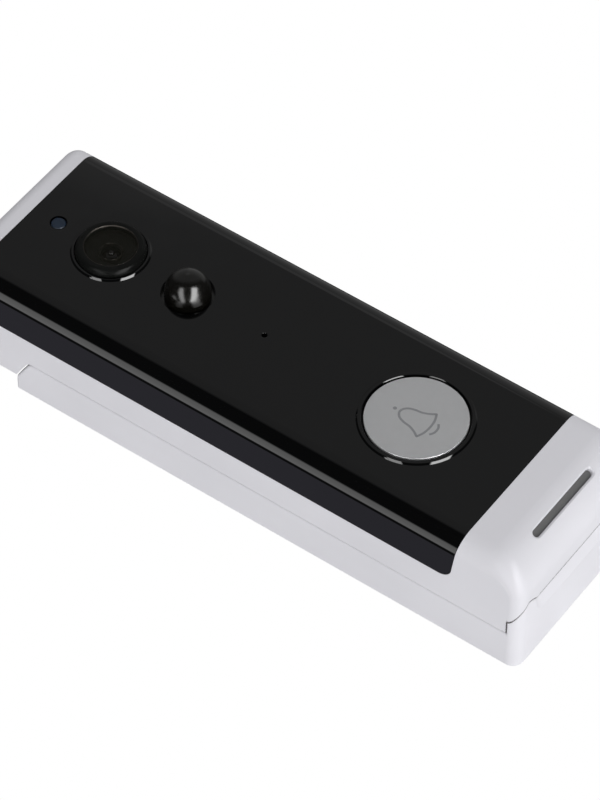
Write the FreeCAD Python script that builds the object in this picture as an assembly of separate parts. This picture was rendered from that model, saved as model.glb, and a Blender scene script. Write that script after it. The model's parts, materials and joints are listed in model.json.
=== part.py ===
import FreeCAD, Part
import math
import os

os.makedirs("parts", exist_ok=True)
V = FreeCAD.Vector

# Frame: +Z up along the body, -Y is the face towards the visitor, y = 0 is the wall.
# The origin is midway between the two wall screws, in the plane of the wall.
# Depths are counted forwards from the wall, heights from the nearer end of the body.

# General wall sizes and clearances
WALL = 2.2
FRONT_WALL = 1.5
FIT = 0.1
GAP = 0.2

# Battery cells, standard size, side by side: they set the width and most of the height
CELL_R = 9.2
CELL_LENGTH = 65.0
CELL_FIT = 0.3
CELL_SIDE_CLEAR = 0.65
CELL_BACK_CLEAR = 0.55
NIPPLE_R = 2.8
NIPPLE_HEIGHT = 1.0
HEAD_ROOM = 37.0
FOOT_ROOM = 40.0

# Rounding of the body
LONG_ROUND = 4.5
END_ROUND = 2.8
TOP_ROUND = 2.8
BOTTOM_ROUND = 8.5

# Glossy wrap-around panel
PANEL_TOP_MARGIN = 5.0
PANEL_BOTTOM_MARGIN = 15.1
PANEL_THICK = 1.1
PANEL_TAPE = 0.2
PANEL_SKIRT = 12.4
PANEL_CORNER = 3.1
PANEL_SLANT = 1.3
TAPE_INSET = 1.0
TAPE_WIDTH = 2.6

# Seam between the unit and its wall bracket
SEAM_DEPTH = 10.6
TOP_BACK_DEPTH = 4.8
BRACKET_DROP = 16.0
SHOULDER_RISE = 3.4
SHOULDER_ROUND = 2.0
END_SEAM_DEPTH = 18.0
END_BUMP = 1.5
BUMP_INSET = 3.2
BUMP_WIDTH = 3.0
BUMP_RISE_OUT = 0.5
BUMP_RISE_SHARE = 0.72
BUMP_FALL_BOW = 0.25

# Wall bracket
BRACKET_WALL = 2.0
BACK_EDGE_ROUND = 1.2
SEAM_EDGE_ROUND = 0.5
SCREW_SPACING = 60.0
SCREW_HOLE_R = 2.2
SCREW_SINK_R = 4.2
SCREW_SINK_DEPTH = 1.4
SCOOP_RADIUS = 18.0
SCOOP_DEPTH = 0.8
SCOOP_SLACK = 0.7
SCOOP_EASE = 4.0
TONGUE_WIDTH = 16.0
TONGUE_THICK = 1.8
TONGUE_ROOT = 5.0
TONGUE_REACH = 5.5
PEG_X = 10.0
PEG_WIDTH = 6.0
PEG_THICK = 2.0
PEG_DEPTH = 12.0
PEG_LENGTH = 4.5
RIB_HEIGHT = 0.35
RIB_WIDTH = 1.2
RIB_INSET = 6.0

# Camera
CAMERA_RING_R = 8.5
CAMERA_RING_WIDTH = 0.75
RING_PROUD = 0.35
RING_LIP = 0.5
RING_EDGE_SHARE = 0.25
RING_SLOPE_SHARE = 0.45
BEZEL_SIDE_GAP = 0.25
BEZEL_SLOPE = 1.2
BEZEL_PROUD = 1.8
BEZEL_COLLAR = 1.2
BEZEL_COLLAR_DEPTH = 1.4
GLASS_R = 5.6
GLASS_THICK = 0.7
GLASS_LEDGE = 0.7
BARREL_R = 5.7
BARREL_PROUD = 0.3
BARREL_LENGTH = 10.7
BARREL_CONE = 1.2
ELEMENT_R = 2.6
ELEMENT_THICK = 2.0
HOLDER_SIZE = 14.0
HOLDER_BASE = 4.0
HOLDER_COLLAR = 6.4
SENSOR_BOARD_DROP = 2.4
SENSOR_BOARD_SIZE = 19.0
SENSOR_WIDTH = 8.0
SENSOR_HEIGHT = 7.0
SENSOR_THICK = 1.2
BOARD_THIN = 1.0

# Motion sensor
PIR_BELOW_CAMERA = 19.8
PIR_DOME_R = 4.9
PIR_DOME_SKIRT = 0.7
PIR_HOLE_GAP = 0.8
PIR_FLANGE_EDGE = 1.7
PIR_FLANGE_THICK = 0.6
PIR_SHELL = 0.7
PIR_CAN_R = 4.0
PIR_CAN_HEIGHT = 4.0
PIR_CAN_LIP = 0.5
PIR_WINDOW = 3.2

# Light sensor and microphone
LIGHT_DROP = 11.7
LIGHT_WINDOW_R = 1.6
LIGHT_RING_GAP = 0.25
LIGHT_CHIP = 2.6
LIGHT_BOARD_WIDTH = 12.0
LIGHT_BOARD_HEIGHT = 6.0
LIGHT_POST_R = 1.2
LIGHT_POST_X = 3.8
MIC_BELOW_PIR = 19.4
MIC_HOLE_R = 0.8
MIC_R = 2.1
MIC_HEIGHT = 1.5
MIC_BOOT_WALL = 1.1

# Bell button
BUTTON_RISE = 39.8
BUTTON_R = 10.67
BUTTON_PROUD = 0.3
BUTTON_CAP_THICK = 0.6
BUTTON_EDGE = 0.2
BUTTON_TRAVEL = 0.6
BUTTON_GAP = 0.43
BUTTON_RING_WIDTH = 1.1
BUTTON_FLANGE_THICK = 0.9
BUTTON_HUB_WALL = 1.5
WELL_CLEAR = 0.4
WELL_WALL = 1.2
WELL_FLOOR = 1.0
STEM_R = 1.5
GUIDE_R = 0.9
GUIDE_PITCH_R = 8.5
GUIDE_COUNT = 3

# Main board and what is on it
BOARD_ROOM = 3.0
BOARD_THICK = 1.4
BOARD_BEHIND = 0.95
BOARD_SIDE_CLEAR = 1.2
BOARD_BELOW_BUTTON = 11.3
BOARD_SCREW_INSET = 1.8
BOARD_SCREW_DROP = 3.0
SWITCH_SIZE = 5.2
SWITCH_HEIGHT = 1.6
SWITCH_BASE = 0.3
PLUNGER_R = 1.6
PLUNGER_PROUD = 0.9
PLUNGER_LENGTH = 1.5
CHIP_HEIGHT = 1.8
CAN_EDGE = 0.3
CAN_BELOW_MIC = 12.9
WIFI_WIDTH = 15.0
WIFI_TALL = 11.0
WIFI_X = 8.0
PROCESSOR_SIZE = 14.0
PROCESSOR_X = -8.5

# Speaker
SPEAKER_RISE = 16.2
SPEAKER_WIDTH = 20.0
SPEAKER_TALL = 16.0
SPEAKER_CORNER = 4.0
SPEAKER_CORNER_LEAST = 0.5
SPEAKER_DEPTH = 3.6
SPEAKER_FLOOR = 0.6
SPEAKER_RIM = 1.4
SPEAKER_COLLAR = 1.0
CONE_THICK = 0.3
MAGNET_INSET = 3.3
MAGNET_SEAT = 1.0
MAGNET_THICK = 1.2
GASKET_THICK = 0.4
SLOT_LENGTH = 20.4
SLOT_WIDTH = 1.7
SLOT_ANGLE = 28.0
SLOT_BEVEL = 0.4
MESH_DEPTH = 1.2
MESH_THICK = 0.4
MESH_MARGIN = 1.1

# Rear chassis and battery contacts
BAY_WALL = 1.6
TRAY_THICK = 1.0
RIB_THICK = 1.6
BAY_RIB_COUNT = 5
CONTACT_THICK = 0.4
CONTACT_WIDTH = 7.0
SPRING_ROOM = 6.0
CHASSIS_DEPTH = 9.0
CHASSIS_WALL = 1.6
PROP_R = 4.5
PROP_WALL = 1.5

# Power board behind the camera
POWER_BOARD_DEPTH = 14.2
POWER_BOARD_HALF = 13.0
POWER_BOARD_HIGH = 16.6
POWER_BOARD_RISE = 3.4
POWER_POST_X = 10.5
POWER_POST_DROP = 2.5
POWER_POST_R = 1.8
PORT_RISE = 10.0
USB_X = -6.0
USB_WIDTH = 7.5
USB_HEIGHT = 2.9
USB_SHELL = 0.35
USB_BLADE = 3.6
RESET_X = 7.0
RESET_R = 1.6
RESET_FLANGE = 0.8
RESET_FLANGE_THICK = 0.6
RESET_TRAVEL = 0.3
RESET_PROUD = 0.4
RESET_SWITCH_SIZE = 4.0
RESET_SWITCH_HEIGHT = 1.4
ANTENNA_LENGTH = 8.5
ANTENNA_WIDTH = 1.7
ANTENNA_THICK = 0.3

# Screws
SCREW_R = 1.0
SCREW_HEAD_R = 1.9
SCREW_HEAD = 0.8
BOARD_SCREW_LENGTH = 3.6
CASE_SCREW_LENGTH = 5.0
BOSS_R = 2.3
POST_SIDES = 8
SCREW_CLEAR = 0.05
CASE_SCREW_X = 16.0
CASE_SCREW_TOP_DROP = 7.0
CASE_SCREW_RISE = 8.5

# Width, height and depth follow from the cells and what stands round them
CELL_X = CELL_R + CELL_FIT / 2
CAVITY_HALF = CELL_X + CELL_R + CELL_SIDE_CLEAR
HALF = CAVITY_HALF + WALL
HEIGHT = HEAD_ROOM + CELL_LENGTH + FOOT_ROOM
TOP = HEIGHT / 2
BOTTOM = -HEIGHT / 2
CELL_TOP = TOP - HEAD_ROOM
CELL_BOTTOM = CELL_TOP - CELL_LENGTH
CELL_Y = BRACKET_WALL + CELL_BACK_CLEAR + CELL_R
TRAY_FRONT = -CELL_Y - CELL_R - CELL_FIT - TRAY_THICK
BOARD_Y = -TRAY_FRONT + BOARD_BEHIND + BOARD_THICK
INNER_FRONT = -BOARD_Y - BOARD_ROOM
SKIN_FRONT = INNER_FRONT - FRONT_WALL
FRONT = SKIN_FRONT - PANEL_TAPE - PANEL_THICK

# Heights of the features
PANEL_TOP = TOP - PANEL_TOP_MARGIN
PANEL_BOTTOM = BOTTOM + PANEL_BOTTOM_MARGIN
LIGHT_Z = TOP - LIGHT_DROP
BUTTON_Z = BOTTOM + BUTTON_RISE
SPEAKER_Z = BOTTOM + SPEAKER_RISE
BRACKET_TOP = TOP - BRACKET_DROP
BRACKET_SHOULDER = BRACKET_TOP - SHOULDER_RISE
BOARD_TOP = CELL_TOP
BOARD_BOTTOM = BUTTON_Z - BOARD_BELOW_BUTTON
BAY_TOP = CELL_TOP + CONTACT_THICK
CAMERA_Z = BAY_TOP + BAY_WALL + FIT + SENSOR_BOARD_SIZE / 2
PIR_Z = CAMERA_Z - PIR_BELOW_CAMERA
MIC_Z = PIR_Z - MIC_BELOW_PIR
CAN_Z = MIC_Z - CAN_BELOW_MIC
BAY_BOTTOM = CELL_BOTTOM - SPRING_ROOM
POWER_BOARD_BOTTOM = CELL_TOP + POWER_BOARD_RISE
POWER_BOARD_TOP = POWER_BOARD_BOTTOM + POWER_BOARD_HIGH
POWER_POST_Z = POWER_BOARD_TOP - POWER_POST_DROP
PORT_Z = CELL_TOP + PORT_RISE

# Radii and depths of what fits together
BEZEL_R = CAMERA_RING_R - CAMERA_RING_WIDTH - BEZEL_SIDE_GAP
BEZEL_TOP_R = BEZEL_R - BEZEL_SLOPE
BARREL_FRONT = FRONT - BARREL_PROUD
BARREL_BACK = BARREL_FRONT + BARREL_LENGTH
SENSOR_BOARD_Y = BARREL_BACK + SENSOR_BOARD_DROP
PIR_FLANGE_R = PIR_DOME_R + PIR_FLANGE_EDGE
LIGHT_HOLE_R = LIGHT_WINDOW_R + LIGHT_RING_GAP
MIC_BOOT_R = MIC_R + MIC_BOOT_WALL
BUTTON_RING_R = BUTTON_R + BUTTON_GAP + BUTTON_RING_WIDTH
BUTTON_FLANGE_R = BUTTON_RING_R - BUTTON_RING_WIDTH / 2 - FIT / 2
WELL_R = BUTTON_FLANGE_R + WELL_CLEAR
BOARD_HALF = CAVITY_HALF - BOARD_SIDE_CLEAR
BOARD_SCREW_X = BOARD_HALF - BOARD_SCREW_INSET
SPEAKER_FRONT = INNER_FRONT + SPEAKER_COLLAR + GASKET_THICK
TONGUE_BACK = TOP_BACK_DEPTH + GAP + CHASSIS_WALL + FIT
INNER_TOP = TOP - WALL
END_WALL_TOP = BOTTOM + BRACKET_WALL + GAP + WALL - 2 * GAP
BUMP_HALF = HALF - BUMP_INSET
END_FLAT_HALF = BUMP_HALF - BUMP_WIDTH
FAR = 100.0
TINY = 1e-6


def box(x0, x1, y0, y1, z0, z1):
    return Part.makeBox(x1 - x0, y1 - y0, z1 - z0, V(x0, y0, z0))


def rod(radius, y0, y1, x=0.0, z=0.0):
    """A round bar along Y."""
    return Part.makeCylinder(radius, y1 - y0, V(x, y0, z), V(0, 1, 0))


def post(radius, y0, y1, x, z):
    """A bar along Y with a few flat sides, for small things that repeat out of sight."""
    corners = []
    for index in range(POST_SIDES):
        angle = 2 * math.pi * index / POST_SIDES
        corners.append((x + radius * math.cos(angle), z + radius * math.sin(angle)))
    face = outline(lambda u, v: V(u, y0, v), *corners)
    return face.extrude(V(0, y1 - y0, 0))


def ring(outer, inner, y0, y1, x=0.0, z=0.0):
    return rod(outer, y0, y1, x, z).cut(rod(inner, y0 - 1, y1 + 1, x, z))


def speaker_plate(inset, y0, y1):
    """A plate of the speaker's rounded outline, drawn in all round by inset."""
    width = SPEAKER_WIDTH / 2 - inset
    tall = SPEAKER_TALL / 2 - inset
    block = box(-width, width, y0, y1, SPEAKER_Z - tall, SPEAKER_Z + tall)
    corners = [edge for edge in block.Edges if abs(edge.tangentAt(edge.FirstParameter).y) > 0.5]
    return block.makeFillet(max(SPEAKER_CORNER - inset, SPEAKER_CORNER_LEAST), corners)


def speaker_rim(y0, y1):
    return speaker_plate(0, y0, y1).cut(speaker_plate(SPEAKER_RIM, y0, y1))


def bend(cu, cv, radius, a0, a1):
    """An arc step for an outline, about (cu, cv), from angle a0 to a1 in degrees."""
    middle = math.radians((a0 + a1) / 2)
    end = math.radians(a1)
    via = (cu + radius * math.cos(middle), cv + radius * math.sin(middle))
    return (via, (cu + radius * math.cos(end), cv + radius * math.sin(end)))


def cap(rim_r, tip, rim):
    """An arc step out from the axis at tip to the radius rim_r at rim, as part of a ball."""
    rise = rim - tip
    ball = (rim_r ** 2 + rise ** 2) / (2 * rise)
    middle = rim_r / 2
    slack = math.sqrt(ball ** 2 - middle ** 2)
    half_way = tip + ball - math.copysign(slack, ball)
    return ((middle, half_way), (rim_r, rim))


def outline(place, start, *steps):
    """A face from straight steps (u, v) and arc steps ((u, v) on the arc, (u, v) at its end)."""
    edges = []
    here = start
    for step in steps:
        if isinstance(step[0], tuple):
            via, end = step
            edges.append(Part.Arc(place(*here), place(*via), place(*end)).toShape())
        else:
            end = step
            edges.append(Part.LineSegment(place(*here), place(*end)).toShape())
        here = end
    if math.dist(here, start) > TINY:
        edges.append(Part.LineSegment(place(*here), place(*start)).toShape())
    return Part.Face(Part.Wire(edges))


def side_view(x0, x1, start, *steps):
    """A solid with the given Y, Z outline, from x0 to x1."""
    face = outline(lambda y, z: V(x0, y, z), start, *steps)
    return face.extrude(V(x1 - x0, 0, 0))


def end_view(z0, z1, start, *steps):
    """A solid with the given X, Y outline, from z0 to z1."""
    face = outline(lambda x, y: V(x, y, z0), start, *steps)
    return face.extrude(V(0, 0, z1 - z0))


def turned(x, z, start, *steps):
    """A solid of revolution about a line along Y, from a radius, Y outline."""
    face = outline(lambda r, y: V(x + r, y, z), start, *steps)
    return face.revolve(V(x, 0, z), V(0, 1, 0), 360)


def join(*shapes):
    whole = shapes[0].fuse(list(shapes[1:]))
    return whole.removeSplitter()


def side_round_at(vertex):
    """The round is wide along the front and narrows round the bottom end."""
    return LONG_ROUND if vertex.Point.y < FRONT + TINY else END_ROUND


def outer_body():
    """The rounded block that the housing, panel and bracket are all cut from."""
    block = side_view(
        -HALF, HALF,
        (0, TOP),
        (FRONT, TOP),
        (FRONT, BOTTOM + BOTTOM_ROUND),
        bend(FRONT + BOTTOM_ROUND, BOTTOM + BOTTOM_ROUND, BOTTOM_ROUND, 180, 270),
        (0, BOTTOM),
    )
    sides = []
    for index, edge in enumerate(block.Edges, 1):
        bounds = edge.BoundBox
        if bounds.XLength < TINY and bounds.YMin < -TINY and bounds.ZMin < TOP - TINY:
            start, end = edge.Vertexes
            sides.append((index, side_round_at(start), side_round_at(end)))
    document = FreeCAD.newDocument()
    base = document.addObject("Part::Feature", "block")
    base.Shape = block
    rounded = document.addObject("Part::Fillet", "rounded")
    rounded.Base = base
    rounded.Edges = sides
    document.recompute()
    body = rounded.Shape.Solids[0]
    FreeCAD.closeDocument(document.Name)
    rim = []
    for edge in body.Edges:
        if edge.BoundBox.ZMin > TOP - TINY and edge.BoundBox.YMin < -TINY:
            rim.append(edge)
    return body.makeFillet(TOP_ROUND, rim)


def core(half_width, front, corner):
    """A full-height bar whose front corners are rounded, to hollow a wrap-around skin."""
    return end_view(
        -FAR, FAR,
        (-half_width, FAR),
        (-half_width, front + corner),
        bend(-half_width + corner, front + corner, corner, 180, 270),
        (half_width - corner, front),
        bend(half_width - corner, front + corner, corner, 270, 360),
        (half_width, FAR),
    )


def panel_zone(shrink):
    """The part of the body that the glossy panel covers, smaller all round by shrink."""
    top = PANEL_TOP - shrink
    low = PANEL_BOTTOM + shrink
    back = FRONT + PANEL_SKIRT - shrink
    corner = PANEL_CORNER
    low_back = low + PANEL_SLANT
    top_back = top - PANEL_SLANT
    return side_view(
        -FAR, FAR,
        (FRONT, top),
        (FRONT - 1, top),
        (FRONT - 1, low),
        (FRONT, low),
        (back - corner, low_back),
        bend(back - corner, low_back + corner, corner, -90, 0),
        (back, top_back - corner),
        bend(back - corner, top_back - corner, corner, 0, 90),
    )


def seam_zone(gap):
    """Everything in front of the side seam, whose line is moved forwards by gap."""
    depth = -SEAM_DEPTH - gap
    shoulder = BRACKET_SHOULDER + gap
    top = BRACKET_TOP + gap
    lip = -TOP_BACK_DEPTH - gap
    slope = math.degrees(math.atan2(top - shoulder, lip - depth))
    half_turn = math.radians(90 - slope) / 2
    run = SHOULDER_ROUND * math.tan(half_turn)
    cu = depth + SHOULDER_ROUND
    cv = shoulder - run
    return side_view(
        -FAR, FAR,
        (-FAR, -FAR),
        (depth, -FAR),
        (depth, cv),
        bend(cu, cv, SHOULDER_ROUND, 180, 90 + slope),
        (lip, top),
        (lip, FAR),
        (-FAR, FAR),
    )


def end_zone(gap, top):
    """What the bracket's end wall takes of the bottom end, grown forwards by gap."""
    side = -SEAM_DEPTH - gap
    flat = -END_SEAM_DEPTH - gap
    crest = flat - END_BUMP
    rise_x = (HALF + BUMP_HALF) / 2 + BUMP_RISE_OUT
    rise_y = side + (crest - side) * BUMP_RISE_SHARE
    fall_x = (BUMP_HALF + END_FLAT_HALF) / 2
    fall_y = (crest + flat) / 2 - BUMP_FALL_BOW
    return end_view(
        BOTTOM - 1, top,
        (-HALF - 1, 1),
        (-HALF - 1, side),
        (-HALF, side),
        ((-rise_x, rise_y), (-BUMP_HALF, crest)),
        ((-fall_x, fall_y), (-END_FLAT_HALF, flat)),
        (END_FLAT_HALF, flat),
        ((fall_x, fall_y), (BUMP_HALF, crest)),
        ((rise_x, rise_y), (HALF, side)),
        (HALF + 1, side),
        (HALF + 1, 1),
    )


def make_bracket(body):
    hollow = box(
        -HALF + BRACKET_WALL, HALF - BRACKET_WALL,
        -FAR, -BRACKET_WALL,
        BOTTOM + BRACKET_WALL, FAR,
    )
    shell = body.cut(hollow)
    walls = shell.cut(seam_zone(0))
    walls = walls.cut(box(-FAR, FAR, -FAR, FAR, BRACKET_TOP, FAR))
    end = shell.common(end_zone(0, BOTTOM + END_ROUND))
    bracket = join(walls, end)
    rims = []
    for edge in bracket.Edges:
        if edge.BoundBox.YMin > -TINY:
            rims.append(edge)
    bracket = bracket.makeFillet(BACK_EDGE_ROUND, rims)
    seam_edges = []
    for edge in bracket.Edges:
        bounds = edge.BoundBox
        outermost = min(abs(bounds.XMin), abs(bounds.XMax)) > HALF - TINY
        if outermost and bounds.YMax < -BACK_EDGE_ROUND - TINY and bounds.ZMax > BOTTOM + 2 * END_ROUND:
            seam_edges.append(edge)
    bracket = bracket.makeFillet(SEAM_EDGE_ROUND, seam_edges)
    scoop_y = -END_SEAM_DEPTH
    scoop_z = BOTTOM + SCOOP_DEPTH - SCOOP_RADIUS
    scoop_half = END_FLAT_HALF + SCOOP_SLACK
    scoop_end = SCOOP_RADIUS - SCOOP_DEPTH - GAP
    ease = 0.4 * SCOOP_EASE
    scoop_face = outline(
        lambda x, r: V(x, scoop_y, scoop_z + r),
        (-scoop_half, 0),
        (-scoop_half, scoop_end),
        ((-scoop_half + ease, SCOOP_RADIUS - 0.3), (-scoop_half + SCOOP_EASE, SCOOP_RADIUS)),
        (scoop_half - SCOOP_EASE, SCOOP_RADIUS),
        ((scoop_half - ease, SCOOP_RADIUS - 0.3), (scoop_half, scoop_end)),
        (scoop_half, 0),
    )
    scoop = scoop_face.revolve(V(0, scoop_y, scoop_z), V(1, 0, 0), 360)
    bracket = bracket.cut(scoop)
    rib_x = HALF - RIB_INSET
    for side in (-1, 1):
        z = side * SCREW_SPACING / 2
        bracket = bracket.cut(rod(SCREW_HOLE_R, -FAR, 1, 0, z))
        sink = Part.makeCone(
            SCREW_SINK_R, SCREW_HOLE_R, SCREW_SINK_DEPTH, V(0, -BRACKET_WALL, z), V(0, 1, 0))
        bracket = bracket.cut(sink)
        rib = box(
            side * rib_x - RIB_WIDTH / 2, side * rib_x + RIB_WIDTH / 2,
            -BRACKET_WALL - RIB_HEIGHT, -BRACKET_WALL,
            BOTTOM + BRACKET_WALL, BRACKET_TOP - BRACKET_WALL,
        )
        peg = box(
            side * PEG_X - PEG_WIDTH / 2, side * PEG_X + PEG_WIDTH / 2,
            -PEG_DEPTH - PEG_THICK, -PEG_DEPTH,
            BOTTOM + BRACKET_WALL, BOTTOM + BRACKET_WALL + PEG_LENGTH,
        )
        bracket = bracket.fuse([rib, peg])
    foot = BRACKET_TOP - TONGUE_ROOT
    tip = BRACKET_TOP + TONGUE_REACH - TONGUE_THICK / 2
    tongue = side_view(
        -TONGUE_WIDTH / 2, TONGUE_WIDTH / 2,
        (-BRACKET_WALL, foot),
        (-TONGUE_BACK - TONGUE_THICK, foot),
        (-TONGUE_BACK - TONGUE_THICK, tip),
        bend(-TONGUE_BACK - TONGUE_THICK / 2, tip, TONGUE_THICK / 2, 180, 0),
        (-TONGUE_BACK, foot + 2 * TONGUE_THICK),
        (-BRACKET_WALL, foot + TONGUE_THICK),
    )
    return join(bracket, tongue)


def slot_solid(length, width, near, far):
    """A round-ended slot across the lower front round, between two depths below its surface."""
    angle = math.radians(SLOT_ANGLE)
    centre_y = FRONT + BOTTOM_ROUND
    centre_z = BOTTOM + BOTTOM_ROUND
    inward = V(0, math.cos(angle), math.sin(angle))
    start = V(0, centre_y, centre_z) - inward * (BOTTOM_ROUND - near)
    across = V(0, -math.sin(angle), math.cos(angle))
    half_run = (length - width) / 2
    reach = width / 2
    left = start - V(half_run, 0, 0)
    right = start + V(half_run, 0, 0)
    edges = [
        Part.LineSegment(left + across * reach, right + across * reach).toShape(),
        Part.Arc(right + across * reach, right + V(reach, 0, 0), right - across * reach).toShape(),
        Part.LineSegment(right - across * reach, left - across * reach).toShape(),
        Part.Arc(left - across * reach, left - V(reach, 0, 0), left + across * reach).toShape(),
    ]
    return Part.Face(Part.Wire(edges)).extrude(inward * (far - near))


def slot_bevel():
    """The flared mouth of the speaker slot."""
    grow = 2 * SLOT_BEVEL
    angle = math.radians(SLOT_ANGLE)
    inward = V(0, math.cos(angle), math.sin(angle))
    across = V(0, -math.sin(angle), math.cos(angle))
    wires = []
    for wide, depth in ((3 * grow, -SLOT_BEVEL * 2), (0, SLOT_BEVEL)):
        half_run = (SLOT_LENGTH - SLOT_WIDTH) / 2
        reach = (SLOT_WIDTH + wide) / 2
        start = V(0, FRONT + BOTTOM_ROUND, BOTTOM + BOTTOM_ROUND) - inward * (BOTTOM_ROUND - depth)
        left = start - V(half_run, 0, 0)
        right = start + V(half_run, 0, 0)
        wires.append(Part.Wire([
            Part.LineSegment(left + across * reach, right + across * reach).toShape(),
            Part.Arc(right + across * reach, right + V(reach, 0, 0), right - across * reach).toShape(),
            Part.LineSegment(right - across * reach, left - across * reach).toShape(),
            Part.Arc(left - across * reach, left - V(reach, 0, 0), left + across * reach).toShape(),
        ]))
    return Part.makeLoft(wires, True, True)


def guide_places():
    places = []
    for index in range(GUIDE_COUNT):
        angle = math.radians(90 + index * 360 / GUIDE_COUNT)
        places.append((GUIDE_PITCH_R * math.cos(angle), BUTTON_Z + GUIDE_PITCH_R * math.sin(angle)))
    return places


def board_screw_places():
    rows = (BOARD_TOP - BOARD_SCREW_DROP, BOARD_BOTTOM + BOARD_SCREW_DROP)
    return [(side * BOARD_SCREW_X, z) for z in rows for side in (-1, 1)]


def camera_screw_places():
    reach = SENSOR_BOARD_SIZE / 2 - BOARD_SCREW_INSET
    return [(side * reach, CAMERA_Z + side * reach) for side in (-1, 1)]


def case_screw_places():
    """Each case screw's x, z and the depth of the chassis face that its head sits on."""
    upper = (TOP - CASE_SCREW_TOP_DROP, -TOP_BACK_DEPTH - GAP)
    lower = (BOTTOM + CASE_SCREW_RISE, -CHASSIS_DEPTH)
    return [(side * CASE_SCREW_X, z, back) for z, back in (upper, lower) for side in (-1, 1)]


def make_housing(body):
    housing = body.common(seam_zone(GAP))
    cavity_bottom = END_WALL_TOP
    inner_round = BOTTOM + BOTTOM_ROUND - cavity_bottom
    cavity = side_view(
        -CAVITY_HALF, CAVITY_HALF,
        (FAR, INNER_TOP),
        (INNER_FRONT, INNER_TOP),
        (INNER_FRONT, cavity_bottom + inner_round),
        bend(INNER_FRONT + inner_round, cavity_bottom + inner_round, inner_round, 180, 270),
        (FAR, cavity_bottom),
    )
    housing = housing.cut(cavity.common(core(CAVITY_HALF, INNER_FRONT, LONG_ROUND - WALL)))
    housing = housing.cut(end_zone(GAP, BOTTOM + BRACKET_WALL + GAP))
    between = HALF - BRACKET_WALL - GAP
    corners = end_zone(GAP, BOTTOM + END_ROUND + GAP)
    housing = housing.cut(corners.cut(box(-between, between, -FAR, FAR, -FAR, FAR)))
    recess = panel_zone(0).cut(core(HALF - PANEL_THICK - FIT, SKIN_FRONT, LONG_ROUND - PANEL_THICK))
    housing = housing.cut(recess)

    well_back = INNER_FRONT + WELL_FLOOR
    well_floor = well_back - WELL_FLOOR
    additions = [rod(WELL_R + WELL_WALL, SKIN_FRONT, well_back, 0, BUTTON_Z)]
    for x, z in board_screw_places():
        additions.append(post(BOSS_R, INNER_FRONT - FRONT_WALL / 2, -BOARD_Y, x, z))
    for x, z in camera_screw_places():
        additions.append(post(BOSS_R, INNER_FRONT - FRONT_WALL / 2, SENSOR_BOARD_Y, x, z))
    for x, z, back in case_screw_places():
        additions.append(post(BOSS_R, INNER_FRONT - FRONT_WALL / 2, back - CHASSIS_WALL, x, z))
    root = INNER_FRONT - FRONT_WALL / 2
    collar_back = INNER_FRONT + SPEAKER_COLLAR
    additions.append(speaker_rim(root, collar_back))
    additions.append(
        rod(BEZEL_R + BEZEL_COLLAR, root, INNER_FRONT + BEZEL_COLLAR_DEPTH, 0, CAMERA_Z))
    for side in (-1, 1):
        additions.append(
            post(LIGHT_POST_R, root, INNER_FRONT + CHIP_HEIGHT, side * LIGHT_POST_X, LIGHT_Z))
    housing = join(housing, *additions)

    cuts = [
        rod(WELL_R, -FAR, well_floor, 0, BUTTON_Z),
        rod(PLUNGER_R + 2 * GUIDE_R, -FAR, 0, 0, BUTTON_Z),
        rod(BEZEL_R + FIT, -FAR, 0, 0, CAMERA_Z),
        rod(PIR_DOME_R + FIT, -FAR, 0, 0, PIR_Z),
        rod(PIR_FLANGE_R + FIT, -FAR, SKIN_FRONT + PIR_FLANGE_THICK, 0, PIR_Z),
        rod(LIGHT_WINDOW_R + FIT, -FAR, 0, 0, LIGHT_Z),
        rod(MIC_HOLE_R, -FAR, INNER_FRONT + 1, 0, MIC_Z),
        box(-SPEAKER_WIDTH / 4, SPEAKER_WIDTH / 4, INNER_FRONT, collar_back + 1,
            SPEAKER_Z - SPEAKER_TALL / 2 - 1, SPEAKER_Z - SPEAKER_TALL / 2 + 2 * SPEAKER_RIM),
        slot_solid(SLOT_LENGTH, SLOT_WIDTH, -2, 2 * MESH_DEPTH),
        slot_solid(
            SLOT_LENGTH + 2 * MESH_MARGIN, SLOT_WIDTH + 2 * MESH_MARGIN, MESH_DEPTH, 2 * WALL),
        slot_bevel(),
    ]
    for x, z in guide_places():
        cuts.append(post(GUIDE_R + FIT, -FAR, 0, x, z))
    for x, z in board_screw_places():
        cuts.append(post(SCREW_R + SCREW_CLEAR, INNER_FRONT, 0, x, z))
    for x, z in camera_screw_places():
        cuts.append(post(SCREW_R + SCREW_CLEAR, SENSOR_BOARD_Y - CASE_SCREW_LENGTH, 0, x, z))
    for x, z, back in case_screw_places():
        cuts.append(post(SCREW_R + SCREW_CLEAR, back - CHASSIS_WALL - CASE_SCREW_LENGTH, 0, x, z))
    for side in (-1, 1):
        reach = PEG_WIDTH / 2 + GAP + FIT
        cuts.append(box(
            side * PEG_X - reach, side * PEG_X + reach,
            -PEG_DEPTH - PEG_THICK - GAP - FIT, -PEG_DEPTH + GAP + FIT,
            BOTTOM, END_WALL_TOP + 1,
        ))
    for cutter in cuts:
        housing = housing.cut(cutter)
    return housing


def make_panel(body):
    panel = body.common(panel_zone(FIT))
    panel = panel.cut(core(HALF - PANEL_THICK, FRONT + PANEL_THICK, LONG_ROUND - PANEL_THICK))
    holes = [
        (BUTTON_RING_R - RING_LIP, BUTTON_Z),
        (CAMERA_RING_R - RING_LIP, CAMERA_Z),
        (PIR_DOME_R + PIR_HOLE_GAP, PIR_Z),
        (LIGHT_HOLE_R, LIGHT_Z),
        (MIC_HOLE_R, MIC_Z),
    ]
    for radius, z in holes:
        panel = panel.cut(rod(radius, -FAR, 0, 0, z))
    return panel


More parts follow.
